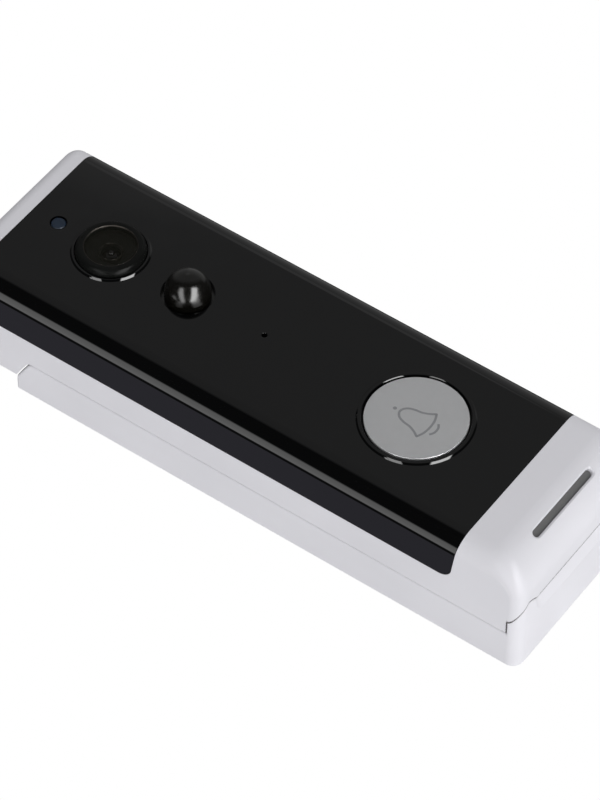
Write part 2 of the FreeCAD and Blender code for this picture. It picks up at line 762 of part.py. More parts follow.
def make_tape():
    """Two strips that hold the panel, beside the holes."""
    outer = HALF - LONG_ROUND - TAPE_INSET
    strips = []
    for low in (-outer, outer - TAPE_WIDTH):
        strips.append(box(
            low, low + TAPE_WIDTH, FRONT + PANEL_THICK, SKIN_FRONT,
            PANEL_BOTTOM + 2 * TAPE_INSET, PANEL_TOP - 2 * TAPE_INSET,
        ))
    return Part.makeCompound(strips)


def trim_ring(outer, width, z):
    """A crowned ring that stands on the panel and is plugged into its hole."""
    inner = outer - width
    plug = outer - RING_LIP - FIT / 2
    crest = FRONT - RING_PROUD
    low = FRONT - RING_PROUD / 2
    return turned(
        0, z,
        (inner, FRONT + PANEL_THICK),
        (inner, low),
        (inner + width * RING_EDGE_SHARE, crest),
        (outer - width * RING_SLOPE_SHARE, crest),
        (outer, FRONT),
        (plug, FRONT),
        (plug, FRONT + PANEL_THICK),
    )


def make_bezel():
    top = FRONT - BEZEL_PROUD
    seat_r = GLASS_R + FIT / 2
    ledge_r = GLASS_R - GLASS_LEDGE
    bore = BARREL_R + FIT
    glass_back = top + GLASS_THICK
    return turned(
        0, CAMERA_Z,
        (bore, INNER_FRONT + BEZEL_COLLAR_DEPTH),
        (BEZEL_R, INNER_FRONT + BEZEL_COLLAR_DEPTH),
        (BEZEL_R, FRONT - BEZEL_PROUD * 0.25),
        (BEZEL_R - BEZEL_SLOPE * 0.25, FRONT - BEZEL_PROUD * 0.65),
        (BEZEL_TOP_R, top),
        (seat_r, top),
        (seat_r, glass_back),
        (ledge_r, glass_back),
        (ledge_r, BARREL_FRONT - FIT),
        (bore, BARREL_FRONT - FIT),
    )


def make_glass():
    top = FRONT - BEZEL_PROUD
    edge = GLASS_THICK / 5
    return turned(
        0, CAMERA_Z,
        (0, top),
        (GLASS_R - edge, top),
        (GLASS_R, top + edge),
        (GLASS_R, top + GLASS_THICK),
        (0, top + GLASS_THICK),
    )


def make_barrel():
    return turned(
        0, CAMERA_Z,
        (ELEMENT_R, BARREL_FRONT + BARREL_CONE),
        (GLASS_R - GLASS_LEDGE, BARREL_FRONT),
        (BARREL_R, BARREL_FRONT),
        (BARREL_R, BARREL_BACK),
        (ELEMENT_R, BARREL_BACK),
    )


def make_element():
    rim = BARREL_FRONT + BARREL_CONE
    tip = BARREL_FRONT + GAP
    return turned(
        0, CAMERA_Z,
        (0, tip),
        cap(ELEMENT_R - FIT, tip, rim),
        (ELEMENT_R - FIT, rim + ELEMENT_THICK),
        (0, rim + ELEMENT_THICK),
    )


def make_holder():
    half = HOLDER_SIZE / 2
    base = box(
        -half, half, SENSOR_BOARD_Y - HOLDER_BASE, SENSOR_BOARD_Y,
        CAMERA_Z - half, CAMERA_Z + half,
    )
    collar = rod(BARREL_R + WELL_WALL, SENSOR_BOARD_Y - HOLDER_COLLAR, SENSOR_BOARD_Y, 0, CAMERA_Z)
    room = SENSOR_WIDTH / 2 + 1
    pocket = box(
        -room, room, SENSOR_BOARD_Y - SENSOR_THICK - GAP, 0, CAMERA_Z - room, CAMERA_Z + room)
    bore = rod(BARREL_R + FIT / 2, -FAR, BARREL_BACK, 0, CAMERA_Z)
    light_path = rod(ELEMENT_R, -FAR, 0, 0, CAMERA_Z)
    holder = join(base, collar).cut(bore).cut(light_path).cut(pocket)
    for x, z in camera_screw_places():
        holder = holder.cut(post(BOSS_R + GAP, -FAR, 0, x, z))
    return holder


def make_sensor_board():
    half = SENSOR_BOARD_SIZE / 2
    board = box(
        -half, half, SENSOR_BOARD_Y, SENSOR_BOARD_Y + BOARD_THIN,
        CAMERA_Z - half, CAMERA_Z + half,
    )
    for x, z in camera_screw_places():
        board = board.cut(post(SCREW_R + FIT, -FAR, 0, x, z))
    return board


def make_image_sensor():
    wide = SENSOR_WIDTH / 2
    tall = SENSOR_HEIGHT / 2
    return box(
        -wide, wide, SENSOR_BOARD_Y - SENSOR_THICK, SENSOR_BOARD_Y,
        CAMERA_Z - tall, CAMERA_Z + tall,
    )


def make_pir_dome():
    flange_front = SKIN_FRONT
    flange_back = SKIN_FRONT + PIR_FLANGE_THICK
    inner_r = PIR_DOME_R - PIR_SHELL
    skirt_top = FRONT - PIR_DOME_SKIRT
    tip = skirt_top - PIR_DOME_R
    half_way, rim = cap(PIR_DOME_R, tip, skirt_top)
    return turned(
        0, PIR_Z,
        (inner_r, flange_back),
        (PIR_FLANGE_R, flange_back),
        (PIR_FLANGE_R, flange_front),
        (PIR_DOME_R, flange_front),
        rim,
        (half_way, (0, tip)),
        (0, tip + PIR_SHELL),
        (inner_r / 2, tip + 2 * PIR_SHELL),
        (inner_r, skirt_top),
    )


def make_pir_sensor():
    back = -BOARD_Y
    front = back - PIR_CAN_HEIGHT
    half = PIR_WINDOW / 2
    flange = rod(PIR_CAN_R + PIR_CAN_LIP, back - PIR_CAN_LIP, back, 0, PIR_Z)
    can = rod(PIR_CAN_R, front, back, 0, PIR_Z)
    window = box(-half, half, front - 1, front + GAP, PIR_Z - half, PIR_Z + half)
    return join(flange, can).cut(window)


def make_light_window():
    return turned(
        0, LIGHT_Z,
        (0, FRONT + FIT),
        (LIGHT_WINDOW_R - GAP, FRONT + FIT),
        (LIGHT_WINDOW_R, FRONT + FIT + GAP),
        (LIGHT_WINDOW_R, INNER_FRONT),
        (0, INNER_FRONT),
    )


def make_light_sensor():
    half = LIGHT_CHIP / 2
    board_front = INNER_FRONT + CHIP_HEIGHT
    return box(-half, half, INNER_FRONT + GAP, board_front, LIGHT_Z - half, LIGHT_Z + half)


def make_light_board():
    board_front = INNER_FRONT + CHIP_HEIGHT
    wide = LIGHT_BOARD_WIDTH / 2
    tall = LIGHT_BOARD_HEIGHT / 2
    return box(-wide, wide, board_front, board_front + BOARD_THIN, LIGHT_Z - tall, LIGHT_Z + tall)


def make_mic_boot():
    boot = rod(MIC_BOOT_R, INNER_FRONT, -BOARD_Y, 0, MIC_Z)
    boot = boot.cut(rod(MIC_R, -BOARD_Y - MIC_HEIGHT - FIT, 0, 0, MIC_Z))
    return boot.cut(rod(MIC_HOLE_R, -FAR, 0, 0, MIC_Z))


def make_microphone():
    return rod(MIC_R, -BOARD_Y - MIC_HEIGHT, -BOARD_Y, 0, MIC_Z)


def make_button_cap():
    front = FRONT - BUTTON_PROUD
    back = front + BUTTON_CAP_THICK
    return turned(
        0, BUTTON_Z,
        (0, front),
        (BUTTON_R - BUTTON_EDGE, front),
        (BUTTON_R, front + BUTTON_EDGE),
        (BUTTON_R, back),
        (0, back),
    )


def make_button_carrier():
    cap_back = FRONT - BUTTON_PROUD + BUTTON_CAP_THICK
    flange_front = FRONT + PANEL_THICK + FIT / 2
    flange_back = flange_front + BUTTON_FLANGE_THICK
    web_back = cap_back + BUTTON_FLANGE_THICK
    plunger_tip = -BOARD_Y - SWITCH_HEIGHT - PLUNGER_PROUD
    body = turned(
        0, BUTTON_Z,
        (0, cap_back),
        (BUTTON_R, cap_back),
        (BUTTON_R, flange_front),
        (BUTTON_FLANGE_R, flange_front),
        (BUTTON_FLANGE_R, flange_back),
        (BUTTON_FLANGE_R - BUTTON_HUB_WALL, flange_back),
        (BUTTON_FLANGE_R - BUTTON_HUB_WALL, web_back),
        (STEM_R, web_back),
        (STEM_R, plunger_tip),
        (0, plunger_tip),
    )
    pins = []
    for x, z in guide_places():
        pins.append(post(GUIDE_R, cap_back + GAP, -BOARD_Y - 2 * BUTTON_TRAVEL, x, z))
    return join(body, *pins)


def make_plunger():
    tip = -BOARD_Y - SWITCH_HEIGHT - PLUNGER_PROUD
    return rod(PLUNGER_R, tip, tip + PLUNGER_LENGTH, 0, BUTTON_Z)


def make_tact_switch():
    half = SWITCH_SIZE / 2
    body = box(-half, half, -BOARD_Y - SWITCH_HEIGHT, -BOARD_Y, BUTTON_Z - half, BUTTON_Z + half)
    well = rod(PLUNGER_R + FIT, -FAR, -BOARD_Y - SWITCH_BASE, 0, BUTTON_Z)
    return body.cut(well)


def make_main_board():
    board = box(-BOARD_HALF, BOARD_HALF, -BOARD_Y, -BOARD_Y + BOARD_THICK, BOARD_BOTTOM, BOARD_TOP)
    for x, z in board_screw_places():
        board = board.cut(post(SCREW_R + FIT, -FAR, 0, x, z))
    for x, z in guide_places():
        board = board.cut(post(GUIDE_R + GAP, -FAR, 0, x, z))
    for x, z, back in case_screw_places():
        board = board.cut(post(BOSS_R + GAP, -FAR, 0, x, z))
    return board


def shield_can(width, tall, x, z):
    front = -BOARD_Y - CHIP_HEIGHT
    can = box(x - width / 2, x + width / 2, front, -BOARD_Y, z - tall / 2, z + tall / 2)
    edges = []
    for edge in can.Edges:
        if edge.BoundBox.YMax < front + TINY:
            edges.append(edge)
    return can.makeChamfer(CAN_EDGE, edges)


def make_speaker_frame():
    front = SPEAKER_FRONT
    back = front + SPEAKER_DEPTH
    frame = speaker_plate(0, front, back)
    frame = frame.cut(speaker_plate(SPEAKER_RIM, front, back - SPEAKER_FLOOR))
    return frame.cut(speaker_plate(MAGNET_INSET + MAGNET_SEAT, front, back))


def make_speaker_cone():
    front = SPEAKER_FRONT + CONE_THICK
    sheet = speaker_plate(SPEAKER_RIM, front, front + CONE_THICK)
    centre = speaker_plate(2 * SPEAKER_RIM, front + CONE_THICK, front + 2 * CONE_THICK)
    return join(sheet, centre)


def make_speaker_magnet():
    back = SPEAKER_FRONT + SPEAKER_DEPTH
    return speaker_plate(MAGNET_INSET, back, back + MAGNET_THICK)


def make_speaker_gasket():
    return speaker_rim(SPEAKER_FRONT - GASKET_THICK, SPEAKER_FRONT)


def make_speaker_mesh():
    grow = 2 * (MESH_MARGIN - FIT)
    return slot_solid(SLOT_LENGTH + grow, SLOT_WIDTH + grow, MESH_DEPTH, MESH_DEPTH + MESH_THICK)


def make_chassis():
    half = CAVITY_HALF - FIT
    behind_half = HALF - BRACKET_WALL - 2 * GAP
    wall_front = -CHASSIS_DEPTH - CHASSIS_WALL
    tray_back = TRAY_FRONT + TRAY_THICK
    bay_floor = box(-half, half, TRAY_FRONT, tray_back, BAY_BOTTOM, BAY_TOP)
    pieces = []
    for index in range(BAY_RIB_COUNT):
        z = CELL_BOTTOM + (index + 0.5) * CELL_LENGTH / BAY_RIB_COUNT
        pieces.append(
            box(-half, half, TRAY_FRONT, -CELL_Y - RIB_THICK, z - RIB_THICK / 2, z + RIB_THICK / 2))
    for low in (BAY_TOP, BAY_BOTTOM - BAY_WALL):
        pieces.append(box(-half, half, TRAY_FRONT, -CELL_Y + CELL_R / 2, low, low + BAY_WALL))
    top_face = BRACKET_TOP + GAP
    back = -TOP_BACK_DEPTH - GAP
    low_end = END_WALL_TOP + FIT
    pieces.append(box(-behind_half, behind_half, wall_front, -CHASSIS_DEPTH, BAY_TOP, top_face))
    pieces.append(box(-half, half, wall_front, back, top_face, top_face + CHASSIS_WALL))
    pieces.append(box(-half, half, back - CHASSIS_WALL, back, top_face, INNER_TOP - FIT))
    pieces.append(box(-behind_half, behind_half, wall_front, -CHASSIS_DEPTH, low_end, BAY_BOTTOM))
    magnet_back = SPEAKER_FRONT + SPEAKER_DEPTH + MAGNET_THICK
    pieces.append(ring(PROP_R, PROP_R - PROP_WALL, magnet_back, wall_front, 0, SPEAKER_Z))
    for side in (-1, 1):
        pieces.append(
            post(POWER_POST_R, -POWER_BOARD_DEPTH, wall_front, side * POWER_POST_X, POWER_POST_Z))
    chassis = join(bay_floor, *pieces)

    socket_reach = TONGUE_WIDTH / 2 + 2 * GAP
    usb_wide = USB_WIDTH / 2 + FIT
    usb_tall = USB_HEIGHT / 2 + FIT
    cuts = [
        box(-socket_reach, socket_reach, -TONGUE_BACK - TONGUE_THICK - 2 * GAP, -TONGUE_BACK + FIT,
            top_face - 1, top_face + CHASSIS_WALL + 1),
        box(USB_X - usb_wide, USB_X + usb_wide, -FAR, 0, PORT_Z - usb_tall, PORT_Z + usb_tall),
        rod(RESET_R + GAP, -POWER_BOARD_DEPTH, 0, RESET_X, PORT_Z),
    ]
    for side in (-1, 1):
        cuts.append(Part.makeCylinder(
            CELL_R + CELL_FIT, BAY_TOP - BAY_BOTTOM, V(side * CELL_X, -CELL_Y, BAY_BOTTOM)))
    for x, z, face in case_screw_places():
        cuts.append(post(SCREW_R + FIT, -FAR, 0, x, z))
        cuts.append(post(SCREW_HEAD_R + GAP, face - SCREW_HEAD, 0, x, z))
    for x, z in camera_screw_places():
        cuts.append(post(BOSS_R + GAP, -FAR, SENSOR_BOARD_Y + BOARD_THIN + SCREW_HEAD + GAP, x, z))
    for cutter in cuts:
        chassis = chassis.cut(cutter)
    return chassis


def make_cell(side):
    x = side * CELL_X
    body_top = CELL_TOP - NIPPLE_HEIGHT
    face = outline(
        lambda r, z: V(x + r, -CELL_Y, z),
        (0, CELL_BOTTOM),
        (CELL_R, CELL_BOTTOM),
        (CELL_R, body_top),
        (NIPPLE_R, body_top),
        (NIPPLE_R, CELL_TOP),
        (0, CELL_TOP),
    )
    return face.revolve(V(x, -CELL_Y, 0), V(0, 0, 1), 360)


def make_plate_contact(side):
    x = side * CELL_X
    half = CONTACT_WIDTH / 2
    return box(x - half, x + half, -CELL_Y - half, -CELL_Y + half, CELL_TOP, BAY_TOP)


def make_spring_contact(side):
    """A folded leaf from the bay's lower wall up to the cell's flat end."""
    x = side * CELL_X
    half = CONTACT_WIDTH / 2
    low = BAY_BOTTOM
    t = CONTACT_THICK
    fold = -CELL_Y - CELL_R / 2
    foot = -CELL_Y + CELL_R / 2
    crest = CELL_BOTTOM
    lip = crest - SPRING_ROOM / 3
    return side_view(
        x - half, x + half,
        (fold, low),
        (foot, low),
        (foot, low + t),
        (fold + 3 * t, low + t),
        (-CELL_Y, crest - 1.2 * t),
        (foot, lip - t),
        (foot, lip),
        (-CELL_Y, crest),
        (-CELL_Y - 2 * t, crest),
        (fold, low + 2 * t),
    )


def make_power_board():
    board = box(
        -POWER_BOARD_HALF, POWER_BOARD_HALF, -POWER_BOARD_DEPTH - BOARD_THIN, -POWER_BOARD_DEPTH,
        POWER_BOARD_BOTTOM, POWER_BOARD_TOP,
    )
    for x, z in camera_screw_places():
        board = board.cut(post(SCREW_HEAD_R + GAP, -FAR, 0, x, z))
    return board


def make_usb_port():
    half = USB_WIDTH / 2
    rise = USB_HEIGHT / 2
    slope = USB_HEIGHT / 3
    blade = USB_BLADE / 2
    face = -POWER_BOARD_DEPTH
    mouth = -CHASSIS_DEPTH - FIT
    profile = outline(
        lambda x, z: V(USB_X + x, face, PORT_Z + z),
        (-half, rise),
        (half, rise),
        (half, -rise + slope),
        (half - slope, -rise),
        (-half + slope, -rise),
        (-half, -rise + slope),
    )
    shell = profile.extrude(V(0, mouth - face, 0))
    bore = box(
        USB_X - half + USB_SHELL, USB_X + half - USB_SHELL, face + 2 * USB_SHELL, 0,
        PORT_Z - rise + slope, PORT_Z + rise - USB_SHELL,
    )
    tongue = box(
        USB_X - blade, USB_X + blade, face + USB_SHELL, mouth - 1, PORT_Z + FIT, PORT_Z + FIT + 0.5)
    return shell.cut(bore).fuse(tongue).removeSplitter()


def make_reset_switch():
    half = RESET_SWITCH_SIZE / 2
    return box(
        RESET_X - half, RESET_X + half, -POWER_BOARD_DEPTH, -POWER_BOARD_DEPTH + RESET_SWITCH_HEIGHT,
        PORT_Z - half, PORT_Z + half,
    )


def make_reset_cap():
    wall_front = -CHASSIS_DEPTH - CHASSIS_WALL
    tip = -POWER_BOARD_DEPTH + RESET_SWITCH_HEIGHT + RESET_TRAVEL + FIT
    outer = -CHASSIS_DEPTH + RESET_PROUD
    flange_back = wall_front - FIT
    flange_front = flange_back - RESET_FLANGE_THICK
    return turned(
        RESET_X, PORT_Z,
        (0, tip),
        (RESET_R * 0.7, tip),
        (RESET_R * 0.7, flange_front),
        (RESET_R + RESET_FLANGE, flange_front),
        (RESET_R + RESET_FLANGE, flange_back),
        (RESET_R, flange_back),
        (RESET_R, outer),
        (0, outer),
    )


def make_antenna():
    inside = -TOP_BACK_DEPTH - GAP - CHASSIS_WALL
    left = -CAVITY_HALF + 1
    top = INNER_TOP - FIT - GAP
    return box(left, left + ANTENNA_LENGTH, inside - ANTENNA_THICK, inside, top - ANTENNA_WIDTH, top)


def screw(x, z, under, length):
    """A screw driven from behind, whose head sits on the face at y = under."""
    head = post(SCREW_HEAD_R, under, under + SCREW_HEAD, x, z)
    return head.fuse(post(SCREW_R, under - length, under, x, z)).removeSplitter()


def make_board_screws():
    screws = []
    for x, z in board_screw_places():
        screws.append(screw(x, z, -BOARD_Y + BOARD_THICK, BOARD_SCREW_LENGTH))
    for x, z in camera_screw_places():
        screws.append(screw(x, z, SENSOR_BOARD_Y + BOARD_THIN, BOARD_SCREW_LENGTH))
    return Part.makeCompound(screws)


def make_case_screws():
    screws = []
    for x, z, back in case_screw_places():
        screws.append(screw(x, z, back - SCREW_HEAD, CASE_SCREW_LENGTH))
    return Part.makeCompound(screws)


def build():
    body = outer_body()
    parts = {
        "wall_bracket": make_bracket(body),
        "front_housing": make_housing(body),
        "front_panel": make_panel(body),
        "panel_tape": make_tape(),
        "camera_ring": trim_ring(CAMERA_RING_R, CAMERA_RING_WIDTH, CAMERA_Z),
        "camera_bezel": make_bezel(),
        "camera_glass": make_glass(),
        "lens_barrel": make_barrel(),
        "lens_element": make_element(),
        "lens_holder": make_holder(),
        "sensor_board": make_sensor_board(),
        "image_sensor": make_image_sensor(),
        "pir_dome": make_pir_dome(),
        "pir_sensor": make_pir_sensor(),
        "light_window": make_light_window(),
        "light_sensor": make_light_sensor(),
        "light_board": make_light_board(),
        "mic_boot": make_mic_boot(),
        "microphone": make_microphone(),
        "button_ring": trim_ring(BUTTON_RING_R, BUTTON_RING_WIDTH, BUTTON_Z),
        "button_cap": make_button_cap(),
        "button_carrier": make_button_carrier(),
        "switch_plunger": make_plunger(),
        "tact_switch": make_tact_switch(),
        "main_board": make_main_board(),
        "wifi_module": shield_can(WIFI_WIDTH, WIFI_TALL, WIFI_X, CAN_Z),
        "processor_shield": shield_can(PROCESSOR_SIZE, PROCESSOR_SIZE, PROCESSOR_X, CAN_Z),
        "speaker_frame": make_speaker_frame(),
        "speaker_cone": make_speaker_cone(),
        "speaker_magnet": make_speaker_magnet(),
        "speaker_gasket": make_speaker_gasket(),
        "speaker_mesh": make_speaker_mesh(),
        "rear_chassis": make_chassis(),
        "power_board": make_power_board(),
        "usb_port": make_usb_port(),
        "reset_switch": make_reset_switch(),
        "reset_cap": make_reset_cap(),
        "wifi_antenna": make_antenna(),
        "board_screws": make_board_screws(),
        "case_screws": make_case_screws(),
    }
    for side, name in ((-1, "left"), (1, "right")):
        parts["battery_cell_" + name] = make_cell(side)
        parts["plate_contact_" + name] = make_plate_contact(side)
        parts["spring_contact_" + name] = make_spring_contact(side)
    return parts


for node, shape in build().items():
    shape.exportStep("parts/" + node + ".step")
    print(node, len(shape.Solids), "valid" if shape.isValid() else "NOT VALID", round(shape.Volume, 1))
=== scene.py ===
import json
import math

import bmesh
import bpy
from mathutils import Matrix, Vector


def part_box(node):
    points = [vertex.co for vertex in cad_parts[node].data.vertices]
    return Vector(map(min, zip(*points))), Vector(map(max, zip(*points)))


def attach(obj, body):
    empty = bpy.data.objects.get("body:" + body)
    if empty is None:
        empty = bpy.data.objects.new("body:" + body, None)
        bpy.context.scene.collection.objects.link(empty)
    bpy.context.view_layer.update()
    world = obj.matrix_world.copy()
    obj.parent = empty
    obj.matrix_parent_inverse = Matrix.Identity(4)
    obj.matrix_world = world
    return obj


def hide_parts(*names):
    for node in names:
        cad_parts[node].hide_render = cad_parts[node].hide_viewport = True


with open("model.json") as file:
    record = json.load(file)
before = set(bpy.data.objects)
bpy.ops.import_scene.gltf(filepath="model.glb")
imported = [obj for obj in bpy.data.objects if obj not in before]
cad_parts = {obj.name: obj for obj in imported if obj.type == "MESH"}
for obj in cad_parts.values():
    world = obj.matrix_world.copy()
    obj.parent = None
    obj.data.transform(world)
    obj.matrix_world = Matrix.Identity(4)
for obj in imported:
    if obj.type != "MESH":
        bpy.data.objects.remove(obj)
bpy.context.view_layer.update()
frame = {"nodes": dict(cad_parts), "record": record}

nodes = frame["nodes"]

MM = 0.001


def box_mm(node):
    """A CAD node's lowest and highest corner in millimetres."""
    low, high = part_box(node)
    return low / MM, high / MM


def height_of(node):
    low, high = box_mm(node)
    return (low.z + high.z) / 2


def radius_of(node):
    low, high = box_mm(node)
    return (high.x - low.x) / 2


def front_of(node):
    return box_mm(node)[0].y


def back_of(node):
    return box_mm(node)[1].y


# Places and sizes, in millimetres
FRONT = front_of("front_panel")
SKIN_BACK = FRONT + 1.3
BUTTON_Z = height_of("button_cap")
CAMERA_Z = height_of("camera_glass")
PIR_Z = height_of("pir_dome")

# Painted shade in the seams: shade in narrow gaps and a shadow line along the seam on the bottom end
SEAM_REACH = 1.0
SEAM_LINE = 0.45
SEAM_LINE_STRAIGHT = 1.1
SEAM_STRAIGHT_HALF = 14.3
SEAM_LINE_TOP = box_mm("front_housing")[0].z + 4
SEAM_LINE_FRONT = -20.6
SEAM_LINE_BACK = -9.5
# Colours of the painted shadow line along the bottom seam and of the painted shade deep in narrow seams
SEAM_SHADOW_DARK = (0.05, 0.045, 0.04)
SEAM_SHADE_DARK = (0.06, 0.05, 0.045)

# Trim rings
CAMERA_RING_WIDTH = 0.75
BUTTON_RING_WIDTH = 1.1
SLOPE_START = math.radians(42)
SLOPE_END = math.radians(48)
SLOPE_STEPS = 6
INNER_SHARE = 0.4
RING_SUNK = 0.02
RING_STEP = 0.3

# Dome
DOME_R = 4.9
DOME_SKIRT = 0.7

# Camera
GLASS_R = radius_of("camera_glass")
BEZEL_CLEAR = 0.04
BEZEL_LIP = 0.22
BEZEL_ROUND = 1.15
BEZEL_PROUD = 0.35
EDGE_RING_HIGH = 0.2
ELEMENT_R = 2.55
ELEMENT_BALL = 2.6
ELEMENT_THICK = 1.8
CONE_INSET = 0.75
CONE_DEPTH = 1.15
CONE_WALL = 0.3
LENS_STEPS = 9
RETAINER_WIDE = 0.35
RETAINER_ROUND = 0.16
RETAINER_INSET = 0.18
RETAINER_TOP = 0.25
RETAINER_BACK = 0.9
GLINT_R = 0.8
GLINT_SUNK = 0.75

# Button and its bell
CAP_ROUND = 0.16
CURVE_STEPS = 10
BELL_LINE = 0.5
BELL_X = -0.5
BELL_Z = BUTTON_Z + 0.15
BELL_SIDE = [(-3.55, -2.95), (-2.8, -1.8), (-2.2, -0.35), (-2.0, 1.0), (-1.55, 2.4), (-0.85, 3.2), (0, 3.5)]
BELL_MOUTH = [(3.55, -2.95), (1.9, -3.6), (0, -3.8), (-1.9, -3.6), (-3.55, -2.95)]
BELL_CLAPPER = [(-1.65, -4.7), (-0.9, -5.2), (0, -5.35), (0.9, -5.2), (1.65, -4.7)]
DOT_R = 0.42
DOT_RISE = 4.75
DOT_STEPS = 24
PRINT_THICK = 0.012

# Speaker mesh
SLOT_ANGLE = math.radians(28)
WIRE_PITCH = 0.42
WIRE_R = 0.085
WIRE_SIDES = 5
WIRE_BAND = 3.4

# Sleeve of the microphone's hole
MIC_HOLE_R = 0.79
COLLAR_ROUND = 0.09
COLLAR_DEPTH = 2.2

# Seal strips at the bracket's shoulders
SEAM_DEPTH = 10.6
SHOULDER_RISE = 3.4
SEAL_LONG = 5.0
SEAL_INSET = 0.5
SEAL_WIDE = 1.0
SEAL_CLEAR = 0.05
SEAL_THICK = 0.17

# Case screws
CROSS_LONG = 1.15
CROSS_WIDE = 0.24
CROSS_DEPTH = 0.55
HEAD_THICK = 0.8
SHANK_R = 0.9
POINT_LONG = 0.8

TINY = 1e-7

# The range in which nearly all of a noise factor lies
NOISE_LOW = 0.3
NOISE_HIGH = 0.7


# Materials

def new_material(name):
    mat = bpy.data.materials.new(name)
    mat.use_nodes = True
    tree = mat.node_tree
    return mat, tree, tree.nodes["Principled BSDF"]


def set_shader(shader, **values):
    """Sets plain values on the shader's own sockets; spaces in names are underscores."""
    for name, value in values.items():
        socket = shader.inputs[name.replace("_", " ")]
        if isinstance(value, tuple) and len(value) == 3:
            value = (*value, 1.0)
        socket.default_value = value


def add(tree, kind, **props):
    node = tree.nodes.new(kind)
    for name, value in props.items():
        setattr(node, name, value)
    return node


def math_node(tree, operation, first, second=None):
    """A maths node on two inputs, each a socket or a number."""
    node = add(tree, "ShaderNodeMath", operation=operation)
    for socket, value in zip(node.inputs, (first, second)):
        if isinstance(value, (int, float)):
            socket.default_value = value
        elif value is not None:
            tree.links.new(value, socket)
    return node.outputs["Value"]


def blend_of(tree, factor, first, second):
    """The first colour where the factor is 0 and the second where it is 1; each a socket or a colour."""
    node = add(tree, "ShaderNodeMix", data_type="RGBA")
    tree.links.new(factor, node.inputs["Factor"])
    for name, value in (("A", first), ("B", second)):
        socket = next(one for one in node.inputs if one.name == name and one.type == "RGBA")
        if isinstance(value, tuple):
            socket.default_value = (*value, 1)
        else:
            tree.links.new(value, socket)
    return next(one for one in node.outputs if one.type == "RGBA")


def object_coords(tree, scale=(1, 1, 1)):
    coords = add(tree, "ShaderNodeTexCoord")
    mapping = add(tree, "ShaderNodeMapping")
    mapping.inputs["Scale"].default_value = scale
    tree.links.new(coords.outputs["Object"], mapping.inputs["Vector"])
    return mapping.outputs["Vector"]


def noise(tree, vector, scale, detail=2.0, roughness=0.5):
    node = add(tree, "ShaderNodeTexNoise")
    node.inputs["Scale"].default_value = scale
    node.inputs["Detail"].default_value = detail
    node.inputs["Roughness"].default_value = roughness
    tree.links.new(vector, node.inputs["Vector"])
    return node.outputs["Fac"]


def ranged(tree, fac, low, high):
    """Maps a noise factor onto low to high."""
    node = add(tree, "ShaderNodeMapRange")
    node.inputs["From Min"].default_value = NOISE_LOW
    node.inputs["From Max"].default_value = NOISE_HIGH
    node.inputs["To Min"].default_value = low
    node.inputs["To Max"].default_value = high
    tree.links.new(fac, node.inputs["Value"])
    return node.outputs["Result"]


def tinted(tree, fac, dark, light, low=NOISE_LOW, high=NOISE_HIGH):
    """Maps a factor from low to high onto a blend of two colours."""
    ramp = add(tree, "ShaderNodeValToRGB")
    for element, position, colour in zip(ramp.color_ramp.elements, (low, high), (dark, light)):
        element.position = position
        element.color = (*colour, 1)
    tree.links.new(fac, ramp.inputs["Fac"])
    return ramp.outputs["Color"]


def dimmed(colour, share):
    return tuple(c * share for c in colour)


def bumped(tree, shader, height, strength, distance):
    node = add(tree, "ShaderNodeBump")
    node.inputs["Strength"].default_value = strength
    node.inputs["Distance"].default_value = distance
    tree.links.new(height, node.inputs["Height"])
    tree.links.new(node.outputs["Normal"], shader.inputs["Normal"])
    return node


def moulded_plastic(name, colour, roughness, grain=2600.0, depth=0.00002, edge=0.0, shadow_lined=False):
    """Moulded plastic with a fine grain, a faint uneven sheen and a little colour drift.

    An edge radius rounds its edges in the light and paints shade into its narrow seams, and a piece with a
    seam line gets a painted shadow line along the seam on the bottom end.
    """
    mat, tree, shader = new_material(name)
    vector = object_coords(tree)
    fine = noise(tree, vector, grain, 3.0)
    broad = noise(tree, vector, 55.0, 4.0)
    shade = tinted(tree, broad, dimmed(colour, 0.965), colour)
    bump = bumped(tree, shader, fine, 0.25, depth)
    if edge:
        bevel = add(tree, "ShaderNodeBevel", samples=6)
        bevel.inputs["Radius"].default_value = edge * MM
        tree.links.new(bevel.outputs["Normal"], bump.inputs["Normal"])
        # Painted shade: darkens the colour in narrow seams
        shade = painted_seam_shade(tree, shade)
    if shadow_lined:
        # Painted shadow line along the seam on the bottom end
        shade = painted_seam_shadow_line(tree, shade)
    tree.links.new(shade, shader.inputs["Base Color"])
    tree.links.new(ranged(tree, broad, roughness - 0.06, roughness + 0.06), shader.inputs["Roughness"])
    set_shader(shader, IOR=1.5, Specular_IOR_Level=0.25)
    return mat


def painted_seam_shade(tree, colour):
    """Paints shade into a colour in narrow seams, where the open air round a point is small."""
    air = add(tree, "ShaderNodeAmbientOcclusion", samples=8)
    air.inputs["Distance"].default_value = SEAM_REACH * MM
    shade = add(tree, "ShaderNodeVectorMath", operation="MULTIPLY")
    tree.links.new(colour, shade.inputs[0])
    tree.links.new(tinted(tree, air.outputs["AO"], SEAM_SHADE_DARK, (1, 1, 1), 0.25, 0.62), shade.inputs[1])
    return shade.outputs["Vector"]


